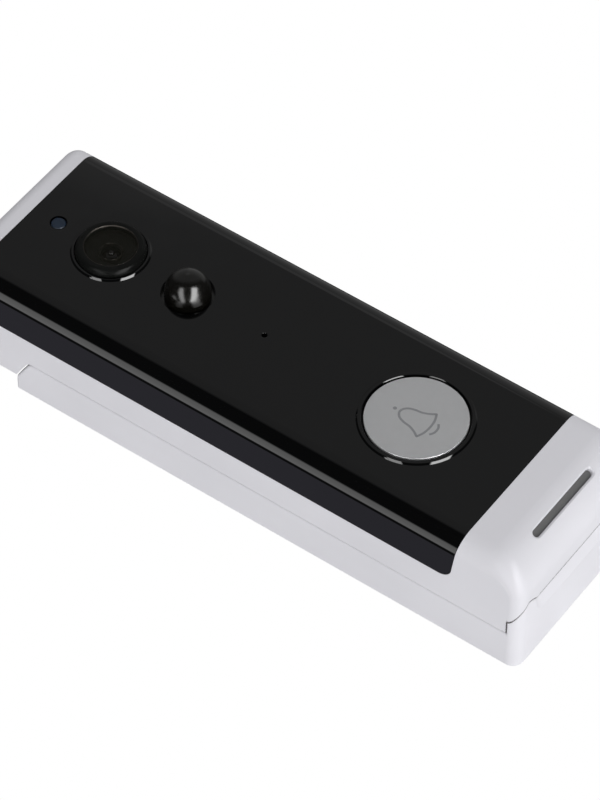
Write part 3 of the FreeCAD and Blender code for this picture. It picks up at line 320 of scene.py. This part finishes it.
def painted_seam_shadow_line(tree, colour):
    """Paints a shadow line into a colour along the sharp edges of the seam on the bottom end."""
    place = add(tree, "ShaderNodeSeparateXYZ")
    tree.links.new(add(tree, "ShaderNodeTexCoord").outputs["Object"], place.inputs["Vector"])
    beside = math_node(tree, "ABSOLUTE", place.outputs["X"])
    straight = math_node(tree, "LESS_THAN", beside, SEAM_STRAIGHT_HALF * MM)
    wider = math_node(tree, "MULTIPLY", straight, (SEAM_LINE_STRAIGHT - SEAM_LINE) * MM)
    bevel = add(tree, "ShaderNodeBevel", samples=6)
    tree.links.new(math_node(tree, "ADD", wider, SEAM_LINE * MM), bevel.inputs["Radius"])
    face = add(tree, "ShaderNodeNewGeometry")
    dot = add(tree, "ShaderNodeVectorMath", operation="DOT_PRODUCT")
    tree.links.new(bevel.outputs["Normal"], dot.inputs[0])
    tree.links.new(face.outputs["Normal"], dot.inputs[1])
    flat = add(tree, "ShaderNodeMapRange")
    flat.inputs["From Min"].default_value = 0.8
    flat.inputs["From Max"].default_value = 0.98
    tree.links.new(dot.outputs["Value"], flat.inputs["Value"])
    clear = flat.outputs["Result"]
    limits = (("Z", "GREATER_THAN", SEAM_LINE_TOP), ("Y", "LESS_THAN", SEAM_LINE_FRONT),
              ("Y", "GREATER_THAN", SEAM_LINE_BACK))
    for axis, side, limit in limits:
        beyond = math_node(tree, side, place.outputs[axis], limit * MM)
        clear = math_node(tree, "MAXIMUM", clear, beyond)
    return blend_of(tree, clear, SEAM_SHADOW_DARK, colour)


def gloss_plastic(name, colour, roughness=0.04, specular=0.5):
    """Polished plastic: near mirror smooth, with a faint ripple and rare fine dust in its gloss."""
    mat, tree, shader = new_material(name)
    vector = object_coords(tree)
    ripple = noise(tree, vector, 42.0, 1.0)
    smear = noise(tree, vector, 120.0, 5.0, 0.6)
    tree.links.new(tinted(tree, smear, dimmed(colour, 0.8), colour), shader.inputs["Base Color"])
    tree.links.new(ranged(tree, smear, roughness * 0.7, roughness * 1.6), shader.inputs["Roughness"])
    bumped(tree, shader, ripple, 0.04, 0.0004)
    set_shader(shader, IOR=1.49, Specular_IOR_Level=specular)
    return mat


def plain_metal(name, colour, roughness, grain=900.0, stretch=(1, 1, 1)):
    """Metal with drawn or rolled marks along one way."""
    mat, tree, shader = new_material(name)
    vector = object_coords(tree, stretch)
    marks = noise(tree, vector, grain, 3.0)
    broad = noise(tree, vector, 90.0, 3.0)
    tree.links.new(tinted(tree, broad, dimmed(colour, 0.86), colour), shader.inputs["Base Color"])
    tree.links.new(ranged(tree, marks, roughness * 0.75, roughness * 1.3), shader.inputs["Roughness"])
    bumped(tree, shader, marks, 0.12, 0.00002)
    set_shader(shader, Metallic=1.0)
    return mat


def spun_metal(name, colour, roughness, middle):
    """Metal turned about a line along Y: fine rings round its middle."""
    mat, tree, shader = new_material(name)
    coords = add(tree, "ShaderNodeTexCoord")
    shift = add(tree, "ShaderNodeVectorMath", operation="SUBTRACT")
    shift.inputs[1].default_value = middle
    flat = add(tree, "ShaderNodeVectorMath", operation="MULTIPLY")
    flat.inputs[1].default_value = (1, 0, 1)
    length = add(tree, "ShaderNodeVectorMath", operation="LENGTH")
    tree.links.new(coords.outputs["Object"], shift.inputs[0])
    tree.links.new(shift.outputs["Vector"], flat.inputs[0])
    tree.links.new(flat.outputs["Vector"], length.inputs[0])
    radial = add(tree, "ShaderNodeCombineXYZ")
    tree.links.new(length.outputs["Value"], radial.inputs["X"])
    rings = noise(tree, radial.outputs["Vector"], 9000.0, 4.0, 0.7)
    cloud = noise(tree, coords.outputs["Object"], 700.0, 3.0)
    mixed = math_node(tree, "MULTIPLY", math_node(tree, "ADD", rings, cloud), 0.5)
    tree.links.new(tinted(tree, mixed, dimmed(colour, 0.93), colour), shader.inputs["Base Color"])
    tree.links.new(ranged(tree, mixed, roughness * 0.85, roughness * 1.2), shader.inputs["Roughness"])
    bumped(tree, shader, rings, 0.1, 0.00001)
    set_shader(shader, Metallic=0.5)
    return mat


def clear_glass(name, tint, alpha, roughness=0.01):
    """A thin coated window: mostly see-through, with a full glossy reflection."""
    mat, tree, shader = new_material(name)
    vector = object_coords(tree)
    smear = noise(tree, vector, 160.0, 4.0)
    tree.links.new(ranged(tree, smear, roughness, roughness * 3), shader.inputs["Roughness"])
    set_shader(shader, Base_Color=tint, Alpha=alpha, IOR=1.5, Specular_IOR_Level=0.2)
    return mat


def lens_coating(name):
    """The front lens element: dark glass with a coating that drifts from amber to violet."""
    mat, tree, shader = new_material(name)
    vector = object_coords(tree)
    smear = noise(tree, vector, 300.0, 3.0)
    colour = tinted(tree, smear, (0.008, 0.004, 0.003), (0.005, 0.003, 0.007))
    tree.links.new(colour, shader.inputs["Base Color"])
    tree.links.new(ranged(tree, smear, 0.01, 0.04), shader.inputs["Roughness"])
    set_shader(shader, IOR=1.6, Specular_IOR_Level=0.5)
    return mat


def circuit_board(name):
    """Solder mask with darker tracks and pale pads."""
    mat, tree, shader = new_material(name)
    vector = object_coords(tree)
    cells = add(tree, "ShaderNodeTexVoronoi", distance="MANHATTAN", feature="F1")
    cells.inputs["Scale"].default_value = 420.0
    tree.links.new(vector, cells.inputs["Vector"])
    tracks = tinted(tree, cells.outputs["Distance"], (0.012, 0.09, 0.035), (0.03, 0.17, 0.07))
    tree.links.new(tracks, shader.inputs["Base Color"])
    smear = noise(tree, vector, 200.0, 3.0)
    tree.links.new(ranged(tree, smear, 0.22, 0.4), shader.inputs["Roughness"])
    bumped(tree, shader, cells.outputs["Distance"], 0.1, 0.00004)
    return mat


WHITE = (0.795, 0.79, 0.835)
BLACK = (0.0014, 0.0015, 0.0017)

materials = {
    # Both whites get painted shade in their narrow seams; the housing also gets a painted shadow line along
    # the seam on the bottom end
    "housing_white": moulded_plastic("housing_white", WHITE, 0.42, edge=0.14, shadow_lined=True),
    "bracket_white": moulded_plastic("bracket_white", WHITE, 0.5, 1800.0, 0.00003, edge=0.5),
    "chassis_white": moulded_plastic("chassis_white", (0.74, 0.737, 0.77), 0.5),
    "panel_black": gloss_plastic("panel_black", BLACK, 0.035),
    "ring_black": gloss_plastic("ring_black", BLACK, 0.03),
    "bezel_black": gloss_plastic("bezel_black", (0.0085, 0.009, 0.0085), 0.25, specular=0.05),
    "dome_black": gloss_plastic("dome_black", (0.0045, 0.0042, 0.0034), 0.2),
    "window_blue": gloss_plastic("window_blue", (0.004, 0.014, 0.032), 0.4),
    "tape_black": moulded_plastic("tape_black", (0.02, 0.02, 0.02), 0.9),
    "camera_glass": clear_glass("camera_glass", (0.012, 0.012, 0.008), 0.25),
    "lens_glass": lens_coating("lens_glass"),
    "lens_black": moulded_plastic("lens_black", (0.006, 0.0055, 0.004), 0.45, 4000.0),
    "board_green": circuit_board("board_green"),
    "chip_black": moulded_plastic("chip_black", (0.02, 0.02, 0.02), 0.5),
    "can_metal": plain_metal("can_metal", (0.6, 0.6, 0.6), 0.3, 700.0, (1, 1, 6)),
    "rubber_black": moulded_plastic("rubber_black", (0.018, 0.018, 0.018), 0.75, 3500.0),
    "button_grey": spun_metal("button_grey", (0.575, 0.58, 0.59), 0.42, (0, 0, BUTTON_Z * MM)),
    "carrier_black": moulded_plastic("carrier_black", (0.012, 0.012, 0.012), 0.5),
    "plunger_black": moulded_plastic("plunger_black", (0.012, 0.012, 0.012), 0.4),
    "switch_metal": plain_metal("switch_metal", (0.55, 0.55, 0.56), 0.35),
    "speaker_frame": moulded_plastic("speaker_frame", (0.03, 0.03, 0.03), 0.5),
    "speaker_cone": moulded_plastic("speaker_cone", (0.05, 0.05, 0.05), 0.6),
    "magnet_metal": plain_metal("magnet_metal", (0.5, 0.5, 0.51), 0.3),
    "edge_metal": plain_metal("edge_metal", (0.055, 0.05, 0.045), 0.5),
    "print_grey": moulded_plastic("print_grey", (0.25, 0.255, 0.265), 0.5),
    "wire_grey": moulded_plastic("wire_grey", (0.6, 0.6, 0.59), 0.4),
    "mesh_grey": moulded_plastic("mesh_grey", (0.15, 0.15, 0.15), 0.45),
    "port_metal": plain_metal("port_metal", (0.58, 0.58, 0.6), 0.28, 700.0, (1, 6, 1)),
    "antenna_copper": plain_metal("antenna_copper", (0.6, 0.33, 0.2), 0.35),
    "screw_steel": plain_metal("screw_steel", (0.42, 0.42, 0.43), 0.3),
    "cell_wrap": gloss_plastic("cell_wrap", (0.05, 0.16, 0.4), 0.22),
    "contact_metal": plain_metal("contact_metal", (0.65, 0.64, 0.6), 0.25, 900.0, (1, 5, 1)),
}

for part in frame["record"]["subparts"]:
    mesh = nodes[part["node"]].data
    mesh.materials.clear()
    mesh.materials.append(materials[part["material_slot"]])


# Mesh helpers, which take millimetres

def add_piece(name, verts, faces, material, body, stands_for=(), smooth=35.0):
    """A mesh piece that rides on a body and may stand for CAD nodes."""
    mesh = bpy.data.meshes.new(name)
    mesh.from_pydata([(x * MM, y * MM, z * MM) for x, y, z in verts], [], faces)
    mesh.validate()
    tool = bmesh.new()
    tool.from_mesh(mesh)
    bmesh.ops.recalc_face_normals(tool, faces=tool.faces)
    tool.to_mesh(mesh)
    tool.free()
    obj = bpy.data.objects.new(name, mesh)
    bpy.context.scene.collection.objects.link(obj)
    mesh.materials.append(materials[material])
    mesh.shade_smooth()
    mesh.set_sharp_from_angle(angle=math.radians(smooth))
    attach(obj, body)
    if stands_for:
        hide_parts(*stands_for)


def lathe(profile, z, x=0.0, steps=160):
    """Turns a closed (radius, y) outline about a line along Y; the outline may touch the axis.

    A radius may be a number or a function of the angle.
    """
    verts = []
    rows = []
    for radius, y in profile:
        if not callable(radius) and radius < TINY:
            rows.append([len(verts)])
            verts.append((x, y, z))
            continue
        rows.append(list(range(len(verts), len(verts) + steps)))
        for i in range(steps):
            angle = 2 * math.pi * i / steps
            reach = radius(angle) if callable(radius) else radius
            verts.append((x + reach * math.cos(angle), y, z + reach * math.sin(angle)))
    faces = []
    for lower, upper in zip(rows, rows[1:] + rows[:1]):
        for i in range(steps):
            j = (i + 1) % steps
            if len(lower) > 1 and len(upper) > 1:
                faces.append((lower[i], upper[i], upper[j], lower[j]))
            elif len(upper) > 1:
                faces.append((lower[0], upper[i], upper[j]))
            elif len(lower) > 1:
                faces.append((lower[i], upper[0], lower[j]))
    return verts, faces


def arc(radius, y, size_r, size_y, start, end, count=8):
    """Points of an elliptical arc in (radius, y), from start to end in degrees."""
    points = []
    for i in range(count + 1):
        angle = math.radians(start + (end - start) * i / count)
        points.append((radius + size_r * math.cos(angle), y + size_y * math.sin(angle)))
    return points


# Pieces

def make_trim_ring(node, width, dished):
    """A black ring with a nearly conical outer slope; a dished one slopes towards its inside too."""
    low, high = box_mm(node)
    outer = (high.x - low.x) / 2
    inner = outer - width
    slope = (FRONT - low.y) / (math.cos(SLOPE_START) - math.cos(SLOPE_END))
    centre = low.y + slope * math.cos(SLOPE_START)
    outside = []
    inside = []
    for i in range(SLOPE_STEPS + 1):
        turn = SLOPE_START + (SLOPE_END - SLOPE_START) * i / SLOPE_STEPS
        run = slope * (math.sin(SLOPE_END) - math.sin(turn))
        y = centre - slope * math.cos(turn)
        outside.append((outer - run, y))
        inside.append((inner + run * INNER_SHARE, low.y + (y - low.y) * INNER_SHARE))
    profile = (inside[::-1] if dished else [(inner, low.y)]) + outside
    step = inner + RING_STEP
    floor = FRONT + RING_SUNK
    profile += [(outer, floor), (step, floor), (step, high.y), (inner, high.y)]
    verts, faces = lathe(profile, height_of(node))
    add_piece(node + "_turned", verts, faces, "ring_black", "unit", (node,))


def make_dome():
    """The motion sensor's dome: a short skirt under half a ball."""
    low, high = box_mm("pir_dome")
    flange = (high.x - low.x) / 2
    tip = low.y
    skirt = FRONT - DOME_SKIRT
    profile = [(0, tip)]
    profile += arc(0, skirt, DOME_R, skirt - tip, -90, 0, 40)[1:]
    profile += [(DOME_R, SKIN_BACK), (flange, SKIN_BACK), (flange, high.y), (0, high.y)]
    verts, faces = lathe(profile, PIR_Z)
    add_piece("pir_dome_turned", verts, faces, "dome_black", "unit", ("pir_dome",))


def make_bezel():
    """The camera's collar, a convex black ring, and the thin bright ring round the glass's edge."""
    low, high = box_mm("camera_bezel")
    outer = (high.x - low.x) / 2
    top = low.y
    seat = GLASS_R + BEZEL_CLEAR
    foot = FRONT - BEZEL_PROUD
    profile = [(seat, high.y), (seat, top + BEZEL_LIP + 0.03)]
    profile += arc(seat + BEZEL_LIP, top + BEZEL_LIP, BEZEL_LIP, BEZEL_LIP, 180, 270, 4)
    profile += arc(outer - BEZEL_ROUND, foot, BEZEL_ROUND, foot - top, -82, -2, 14)
    profile += [(outer, foot + 0.15), (outer, high.y)]
    verts, faces = lathe(profile, CAMERA_Z)
    add_piece("camera_bezel_turned", verts, faces, "bezel_black", "unit", ("camera_bezel",))
    edge = top + 0.02
    back = edge + EDGE_RING_HIGH
    inner = GLASS_R - 0.12
    rim = GLASS_R + 0.14
    profile = [(inner, back - 0.04), (rim - 0.12, edge), (rim, edge), (rim, back), (inner, back)]
    verts, faces = lathe(profile, CAMERA_Z)
    add_piece("glass_edge_ring", verts, faces, "edge_metal", "unit")


def make_lens_barrel():
    """The barrel with fine steps down its cone."""
    low, high = box_mm("lens_barrel")
    outer = (high.x - low.x) / 2
    mouth = low.y
    wide = GLASS_R - CONE_INSET
    narrowing = (ELEMENT_R - wide) / LENS_STEPS
    drop = CONE_DEPTH / LENS_STEPS
    profile = []
    for i in range(LENS_STEPS):
        radius = wide + narrowing * i
        y = mouth + drop * i
        profile += [(radius, y), (radius + narrowing + 0.02, y + 0.3 * drop)]
    floor = mouth + CONE_DEPTH
    profile += [(ELEMENT_R, floor), (ELEMENT_R, floor + CONE_WALL), (wide, floor + CONE_WALL)]
    profile += [(wide, high.y), (outer, high.y), (outer, mouth)]
    verts, faces = lathe(profile, CAMERA_Z)
    add_piece("lens_barrel_stepped", verts, faces, "lens_black", "unit", ("lens_barrel",))


def sag(radius):
    """How far the front element falls back at a radius."""
    return ELEMENT_BALL - math.sqrt(ELEMENT_BALL ** 2 - radius ** 2)


def make_lens():
    """The retaining ring and the front element, whose steep middle carries the glint."""
    tip = front_of("lens_element")
    hole = ELEMENT_R - RETAINER_WIDE
    back = tip + RETAINER_BACK
    top = tip + RETAINER_TOP
    ring = [(hole, top + 0.03)]
    ring += arc(ELEMENT_R - RETAINER_INSET, top, RETAINER_ROUND, RETAINER_ROUND, 200, 340, 6)
    ring += [(ELEMENT_R, back), (hole, back)]
    verts, faces = lathe(ring, CAMERA_Z)
    add_piece("lens_retaining_ring", verts, faces, "edge_metal", "unit")
    outer = hole - 0.01
    crown = tip + 0.02
    profile = [(0, crown)]
    profile += arc(0, crown + GLINT_R, GLINT_R, GLINT_R, -90, -20, 14)[1:]
    shelf = profile[-1][0]
    for i in range(25):
        radius = shelf + (outer - shelf) * i / 24
        profile.append((radius, tip + GLINT_SUNK + sag(radius)))
    end = tip + sag(outer) + ELEMENT_THICK
    profile += [(outer, end), (0, end)]
    verts, faces = lathe(profile, CAMERA_Z)
    add_piece("lens_element_ground", verts, faces, "lens_glass", "unit", ("lens_element",))


def smooth_path(points):
    """A Catmull-Rom curve through the points."""
    last = len(points) - 1
    path = []
    for i in range(last):
        p = [points[min(max(i + k, 0), last)] for k in (-1, 0, 1, 2)]
        for j in range(CURVE_STEPS):
            t = j / CURVE_STEPS
            path.append(tuple(
                0.5 * (2 * p[1][a] + (p[2][a] - p[0][a]) * t
                       + (2 * p[0][a] - 5 * p[1][a] + 4 * p[2][a] - p[3][a]) * t ** 2
                       + (3 * p[1][a] - p[0][a] - 3 * p[2][a] + p[3][a]) * t ** 3)
                for a in (0, 1)))
    path.append(points[-1])
    return path


def ribbon(path, width, closed):
    """Left and right edges of a flat line of even width along a path."""
    count = len(path)
    sides = []
    for i, (u, v) in enumerate(path):
        before = path[(i - 1) % count] if closed or i > 0 else path[i]
        after = path[(i + 1) % count] if closed or i < count - 1 else path[i]
        du, dv = after[0] - before[0], after[1] - before[1]
        size = math.hypot(du, dv) or 1.0
        nu, nv = -dv / size * width / 2, du / size * width / 2
        sides.append(((u + nu, v + nv), (u - nu, v - nv)))
    return sides


def make_bell():
    """The bell pictogram printed on the button: outline, dot and clapper."""
    verts = []
    faces = []
    face_y = front_of("button_cap") - PRINT_THICK
    back_y = face_y + PRINT_THICK + 0.01

    def line(path, closed):
        sides = ribbon(path, BELL_LINE, closed)
        first = len(verts)
        for left, right in sides:
            for u, v in (left, right):
                verts.append((BELL_X + u, face_y, BELL_Z + v))
            for u, v in (left, right):
                verts.append((BELL_X + u, back_y, BELL_Z + v))
        count = len(sides)
        for i in range(count if closed else count - 1):
            a = first + 4 * i
            b = first + 4 * ((i + 1) % count)
            faces.append((a, b, b + 1, a + 1))
            faces.append((a, b, b + 2, a + 2))
            faces.append((a + 1, b + 1, b + 3, a + 3))

    bell = smooth_path(BELL_SIDE + [(-u, v) for u, v in reversed(BELL_SIDE[:-1])])
    line(bell + smooth_path(BELL_MOUTH)[1:-1], True)
    line(smooth_path(BELL_CLAPPER), False)
    centre = len(verts)
    dot_z = BELL_Z + DOT_RISE
    verts.append((BELL_X, face_y, dot_z))
    for i in range(DOT_STEPS):
        angle = 2 * math.pi * i / DOT_STEPS
        verts.append((BELL_X + DOT_R * math.cos(angle), face_y, dot_z + DOT_R * math.sin(angle)))
        faces.append((centre, centre + 1 + i, centre + 1 + (i + 1) % DOT_STEPS))
    add_piece("bell_print", verts, faces, "print_grey", "bell_button")


def make_button_cap():
    """The spun metal disc with its bright turned edge."""
    low, high = box_mm("button_cap")
    outer = (high.x - low.x) / 2
    face = low.y
    profile = [(0, face), (outer - CAP_ROUND - 0.06, face)]
    profile += arc(outer - CAP_ROUND, face + CAP_ROUND, CAP_ROUND, CAP_ROUND, -80, -5, 5)
    profile += [(outer, face + CAP_ROUND + 0.04), (outer, high.y), (0, high.y)]
    verts, faces = lathe(profile, BUTTON_Z, steps=200)
    add_piece("button_cap_turned", verts, faces, "button_grey", "bell_button", ("button_cap",), 20.0)


def make_wire_mesh():
    """Woven wire behind the speaker slot, in the plane of the CAD sheet."""
    low, high = box_mm("speaker_mesh")
    centre = (low + high) / 2
    across = Vector((0, -math.sin(SLOT_ANGLE), math.cos(SLOT_ANGLE)))
    inward = Vector((0, math.cos(SLOT_ANGLE), math.sin(SLOT_ANGLE)))
    half_u = (high.x - low.x) / 2 - WIRE_PITCH
    half_v = WIRE_BAND / 2
    verts = []
    faces = []

    def wire(fixed, lengthwise, reach, phase):
        steps = int(2 * reach / (WIRE_PITCH / 4))
        first = len(verts)
        for i in range(steps + 1):
            s = -reach + 2 * reach * i / steps
            lift = WIRE_R * math.cos(math.pi * s / WIRE_PITCH + phase)
            for k in range(WIRE_SIDES):
                angle = 2 * math.pi * k / WIRE_SIDES
                side = WIRE_R * math.cos(angle)
                depth = lift + WIRE_R * math.sin(angle)
                u, v = (s, fixed + side) if lengthwise else (fixed + side, s)
                verts.append(centre + Vector((u, 0, 0)) + across * v + inward * depth)
        for i in range(steps):
            here = first + WIRE_SIDES * i
            there = here + WIRE_SIDES
            for k in range(WIRE_SIDES):
                j = (k + 1) % WIRE_SIDES
                faces.append((here + k, here + j, there + j, there + k))

    rows = int(half_v / WIRE_PITCH)
    columns = int(half_u / WIRE_PITCH)
    for n in range(-rows, rows + 1):
        wire(n * WIRE_PITCH, True, half_u, math.pi * (n % 2))
    for n in range(-columns, columns + 1):
        wire(n * WIRE_PITCH, False, half_v, math.pi * ((n + 1) % 2))
    add_piece("woven_wire", verts, faces, "wire_grey", "unit", (), 60.0)


def bodies_of(node):
    """The lowest and highest corner of each separate body in a CAD node."""
    tool = bmesh.new()
    tool.from_mesh(nodes[node].data)
    bmesh.ops.remove_doubles(tool, verts=tool.verts, dist=0.001 * MM)
    seen = set()
    boxes = []
    for start in tool.verts:
        if start in seen:
            continue
        seen.add(start)
        queue = [start]
        places = []
        while queue:
            vert = queue.pop()
            places.append(nodes[node].matrix_world @ vert.co / MM)
            for edge in vert.link_edges:
                other = edge.other_vert(vert)
                if other not in seen:
                    seen.add(other)
                    queue.append(other)
        low = Vector([min(place[axis] for place in places) for axis in range(3)])
        high = Vector([max(place[axis] for place in places) for axis in range(3)])
        boxes.append((low, high))
    tool.free()
    return boxes


def cross_reach(angle):
    """How far a screw's cross recess reaches from its middle at an angle."""
    across = max(abs(math.cos(angle)), TINY)
    up = max(abs(math.sin(angle)), TINY)
    level = min(CROSS_LONG / across, CROSS_WIDE / up)
    upright = min(CROSS_WIDE / across, CROSS_LONG / up)
    return max(level, upright)


def make_case_screws():
    """Pan-head screws with a cross recess."""
    verts = []
    faces = []
    for low, high in bodies_of("case_screws"):
        head = (high.x - low.x) / 2
        face = high.y
        profile = [(0, face - CROSS_DEPTH), (cross_reach, face - CROSS_DEPTH), (cross_reach, face)]
        profile += [(head - 0.35, face), (head - 0.1, face - 0.12), (head, face - 0.35)]
        under = face - HEAD_THICK
        profile += [(head, under), (SHANK_R, under), (SHANK_R, low.y + POINT_LONG), (0, low.y)]
        points, loops = lathe(profile, (low.z + high.z) / 2, (low.x + high.x) / 2, 72)
        first = len(verts)
        verts += points
        faces += [tuple(first + i for i in loop) for loop in loops]
    add_piece("case_screws_cut", verts, faces, "screw_steel", "unit", ("case_screws",), 25.0)


def make_mic_collar():
    """A polished sleeve with a rounded rim that lines the microphone's hole."""
    bore = MIC_HOLE_R - 2 * COLLAR_ROUND
    profile = [(MIC_HOLE_R, FRONT), (MIC_HOLE_R, FRONT + COLLAR_DEPTH), (bore, FRONT + COLLAR_DEPTH)]
    profile += arc(bore + COLLAR_ROUND, FRONT + COLLAR_ROUND, COLLAR_ROUND, COLLAR_ROUND, 180, 270, 6)
    verts, faces = lathe(profile, height_of("microphone"), steps=48)
    add_piece("mic_collar", verts, faces, "ring_black", "unit")


def make_shoulder_seal():
    """A strip at each side that closes the slanting gap above the bracket's shoulder."""
    back = back_of("front_housing")
    top = box_mm("wall_bracket")[1].z
    half = box_mm("front_housing")[1].x
    rise = Vector((0, SEAM_DEPTH + back, SHOULDER_RISE)).normalized()
    across = Vector((0, -rise.z, rise.y))
    start = Vector((0, back, top)) - rise * SEAL_LONG
    verts = []
    faces = []
    for side in (-1, 1):
        first = len(verts)
        for x in (side * (half - SEAL_INSET), side * (half - SEAL_INSET - SEAL_WIDE)):
            for run in (0, SEAL_LONG):
                for lift in (SEAL_CLEAR, SEAL_CLEAR + SEAL_THICK):
                    verts.append(start + Vector((x, 0, 0)) + rise * run + across * lift)
        for loop in ((0, 1, 3, 2), (4, 5, 7, 6), (0, 1, 5, 4), (2, 3, 7, 6), (0, 2, 6, 4), (1, 3, 7, 5)):
            faces.append(tuple(first + i for i in loop))
    add_piece("shoulder_seal", verts, faces, "chassis_white", "unit")


make_trim_ring("camera_ring", CAMERA_RING_WIDTH, dished=False)
make_trim_ring("button_ring", BUTTON_RING_WIDTH, dished=True)
make_dome()
make_bezel()
make_lens_barrel()
make_lens()
make_button_cap()
make_bell()
make_wire_mesh()
make_case_screws()
make_mic_collar()
make_shoulder_seal()


# Camera, world and lamp

CAMERA_AT = (-0.4606, -0.6939, -0.3338)
CAMERA_RIGHT = Vector((0.5842, -0.0003, -0.8116))
CAMERA_BACK = Vector((-0.5211, -0.7668, -0.3748))
FOCAL_PX = 4313.1
LONG_SIDE_PX = 800
SENSOR_MM = 36.0

# The studio's own axes, on which the softboxes are placed
STUDIO_RIGHT = (0.5842, 0.0, -0.8116)
STUDIO_UP = (0.6222, -0.6419, 0.4482)
STUDIO_BACK = (-0.5211, -0.7668, -0.3748)


def make_camera():
    data = bpy.data.cameras.new("photo_camera")
    data.sensor_width = SENSOR_MM
    data.lens = FOCAL_PX / LONG_SIDE_PX * SENSOR_MM
    data.clip_start = 0.02
    data.clip_end = 50.0
    camera = bpy.data.objects.new("photo_camera", data)
    bpy.context.scene.collection.objects.link(camera)
    back = CAMERA_BACK.normalized()
    up = back.cross(CAMERA_RIGHT).normalized()
    right = up.cross(back)
    turn = Matrix((right, up, back)).transposed().to_4x4()
    camera.matrix_world = Matrix.Translation(CAMERA_AT) @ turn
    bpy.context.scene.camera = camera


def along(tree, direction, axis):
    """How far a direction points along a fixed axis."""
    node = add(tree, "ShaderNodeVectorMath", operation="DOT_PRODUCT")
    tree.links.new(direction, node.inputs[0])
    node.inputs[1].default_value = axis
    return node.outputs["Value"]


def between(tree, value, low, high, soft):
    """1 between low and high degrees, fading to 0 over soft degrees at both ends."""
    factors = []
    for edge, rise in ((low, soft), (high, -soft)):
        node = add(tree, "ShaderNodeMapRange", interpolation_type="SMOOTHSTEP")
        node.inputs["From Min"].default_value = math.radians(edge - rise)
        node.inputs["From Max"].default_value = math.radians(edge + rise)
        tree.links.new(value, node.inputs["Value"])
        factors.append(node.outputs["Result"])
    return math_node(tree, "MULTIPLY", *factors)


# Each softbox in reflections: azimuth range, elevation range, soft edge, brightness, colour
NEUTRAL = (1, 1, 1)
COOL = (0.96, 0.94, 1.14)
SOFTBOXES = (
    ((20, 48), (-62, 14), 2.0, 12.0, NEUTRAL),
    ((48, 56), (-62, -14), 2.0, 8.0, NEUTRAL),
    ((-39, -20), (-62, 12), 1.5, 5.5, NEUTRAL),
    ((-44.5, -39), (-62, -1), 1.5, 5.5, NEUTRAL),
    ((-103, -66), (-46, -18), 4.0, 1.9, NEUTRAL),
    ((-180, 180), (40, 90), 8.0, 0.28, NEUTRAL),
    ((-180, 180), (81.9, 100), 1.4, 0.5, NEUTRAL),
    ((-180, -121), (-90, 4), 2.0, 0.23, COOL),
    ((100, 190), (28, 90), 6.0, 0.36, NEUTRAL),
)
DARK_ROOM = 0.035

# The even light of the room and the way it leans
SOFT_LIGHT = 0.75
SOFT_LEAN = (0.12, 0.4, -0.32)

LAMP_TOWARDS = (-0.48, -0.56, -0.67)
LAMP_AWAY = 0.9
LAMP_WIDE = 0.35
LAMP_HIGH = 0.5
LAMP_POWER = 2.14


def make_world():
    """White for the camera, softboxes in a dim room for reflections, and a soft even light."""
    world = bpy.data.worlds.new("studio")
    bpy.context.scene.world = world
    world.use_nodes = True
    tree = world.node_tree
    tree.nodes.clear()
    direction = add(tree, "ShaderNodeTexCoord").outputs["Generated"]
    across = along(tree, direction, STUDIO_RIGHT)
    rise = along(tree, direction, STUDIO_UP)
    depth = along(tree, direction, STUDIO_BACK)
    azimuth = math_node(tree, "ARCTAN2", across, depth)
    elevation = math_node(tree, "ARCSINE", rise)
    room = add(tree, "ShaderNodeCombineXYZ")
    for socket in room.inputs:
        socket.default_value = DARK_ROOM
    glow = room.outputs["Vector"]
    for (az_low, az_high), (el_low, el_high), soft, power, colour in SOFTBOXES:
        inside = between(tree, elevation, el_low, el_high, soft)
        if az_high - az_low < 360:
            inside = math_node(tree, "MULTIPLY", inside, between(tree, azimuth, az_low, az_high, soft))
        shine = add(tree, "ShaderNodeVectorMath", operation="SCALE")
        shine.inputs["Vector"].default_value = colour
        tree.links.new(math_node(tree, "MULTIPLY", inside, power), shine.inputs["Scale"])
        brighter = add(tree, "ShaderNodeVectorMath", operation="MAXIMUM")
        tree.links.new(glow, brighter.inputs[0])
        tree.links.new(shine.outputs["Vector"], brighter.inputs[1])
        glow = brighter.outputs["Vector"]
    lean = math_node(tree, "ADD", along(tree, direction, SOFT_LEAN), 1.0)
    even = math_node(tree, "MULTIPLY", lean, SOFT_LIGHT)
    path = add(tree, "ShaderNodeLightPath")
    through = math_node(tree, "MAXIMUM", path.outputs["Is Camera Ray"], path.outputs["Is Transmission Ray"])
    lit = blend_of(tree, path.outputs["Is Glossy Ray"], even, glow)
    backdrop = add(tree, "ShaderNodeRGB").outputs["Color"]
    backdrop.default_value = (1, 1, 1, 1)
    shown = add(tree, "ShaderNodeBackground")
    tree.links.new(blend_of(tree, through, lit, backdrop), shown.inputs["Color"])
    out = add(tree, "ShaderNodeOutputWorld")
    tree.links.new(shown.outputs["Background"], out.inputs["Surface"])


def make_lamp():
    """One broad softbox, which only lights and isn't seen in the gloss."""
    data = bpy.data.lights.new("key_softbox", "AREA")
    data.shape = "RECTANGLE"
    data.size = LAMP_WIDE
    data.size_y = LAMP_HIGH
    data.energy = LAMP_POWER
    lamp = bpy.data.objects.new("key_softbox", data)
    bpy.context.scene.collection.objects.link(lamp)
    direction = Vector(LAMP_TOWARDS).normalized()
    lamp.location = direction * LAMP_AWAY
    lamp.rotation_euler = direction.to_track_quat("Z", "Y").to_euler()
    lamp.visible_glossy = False


make_camera()
make_world()
make_lamp()

bpy.context.scene.view_settings.view_transform = "Standard"
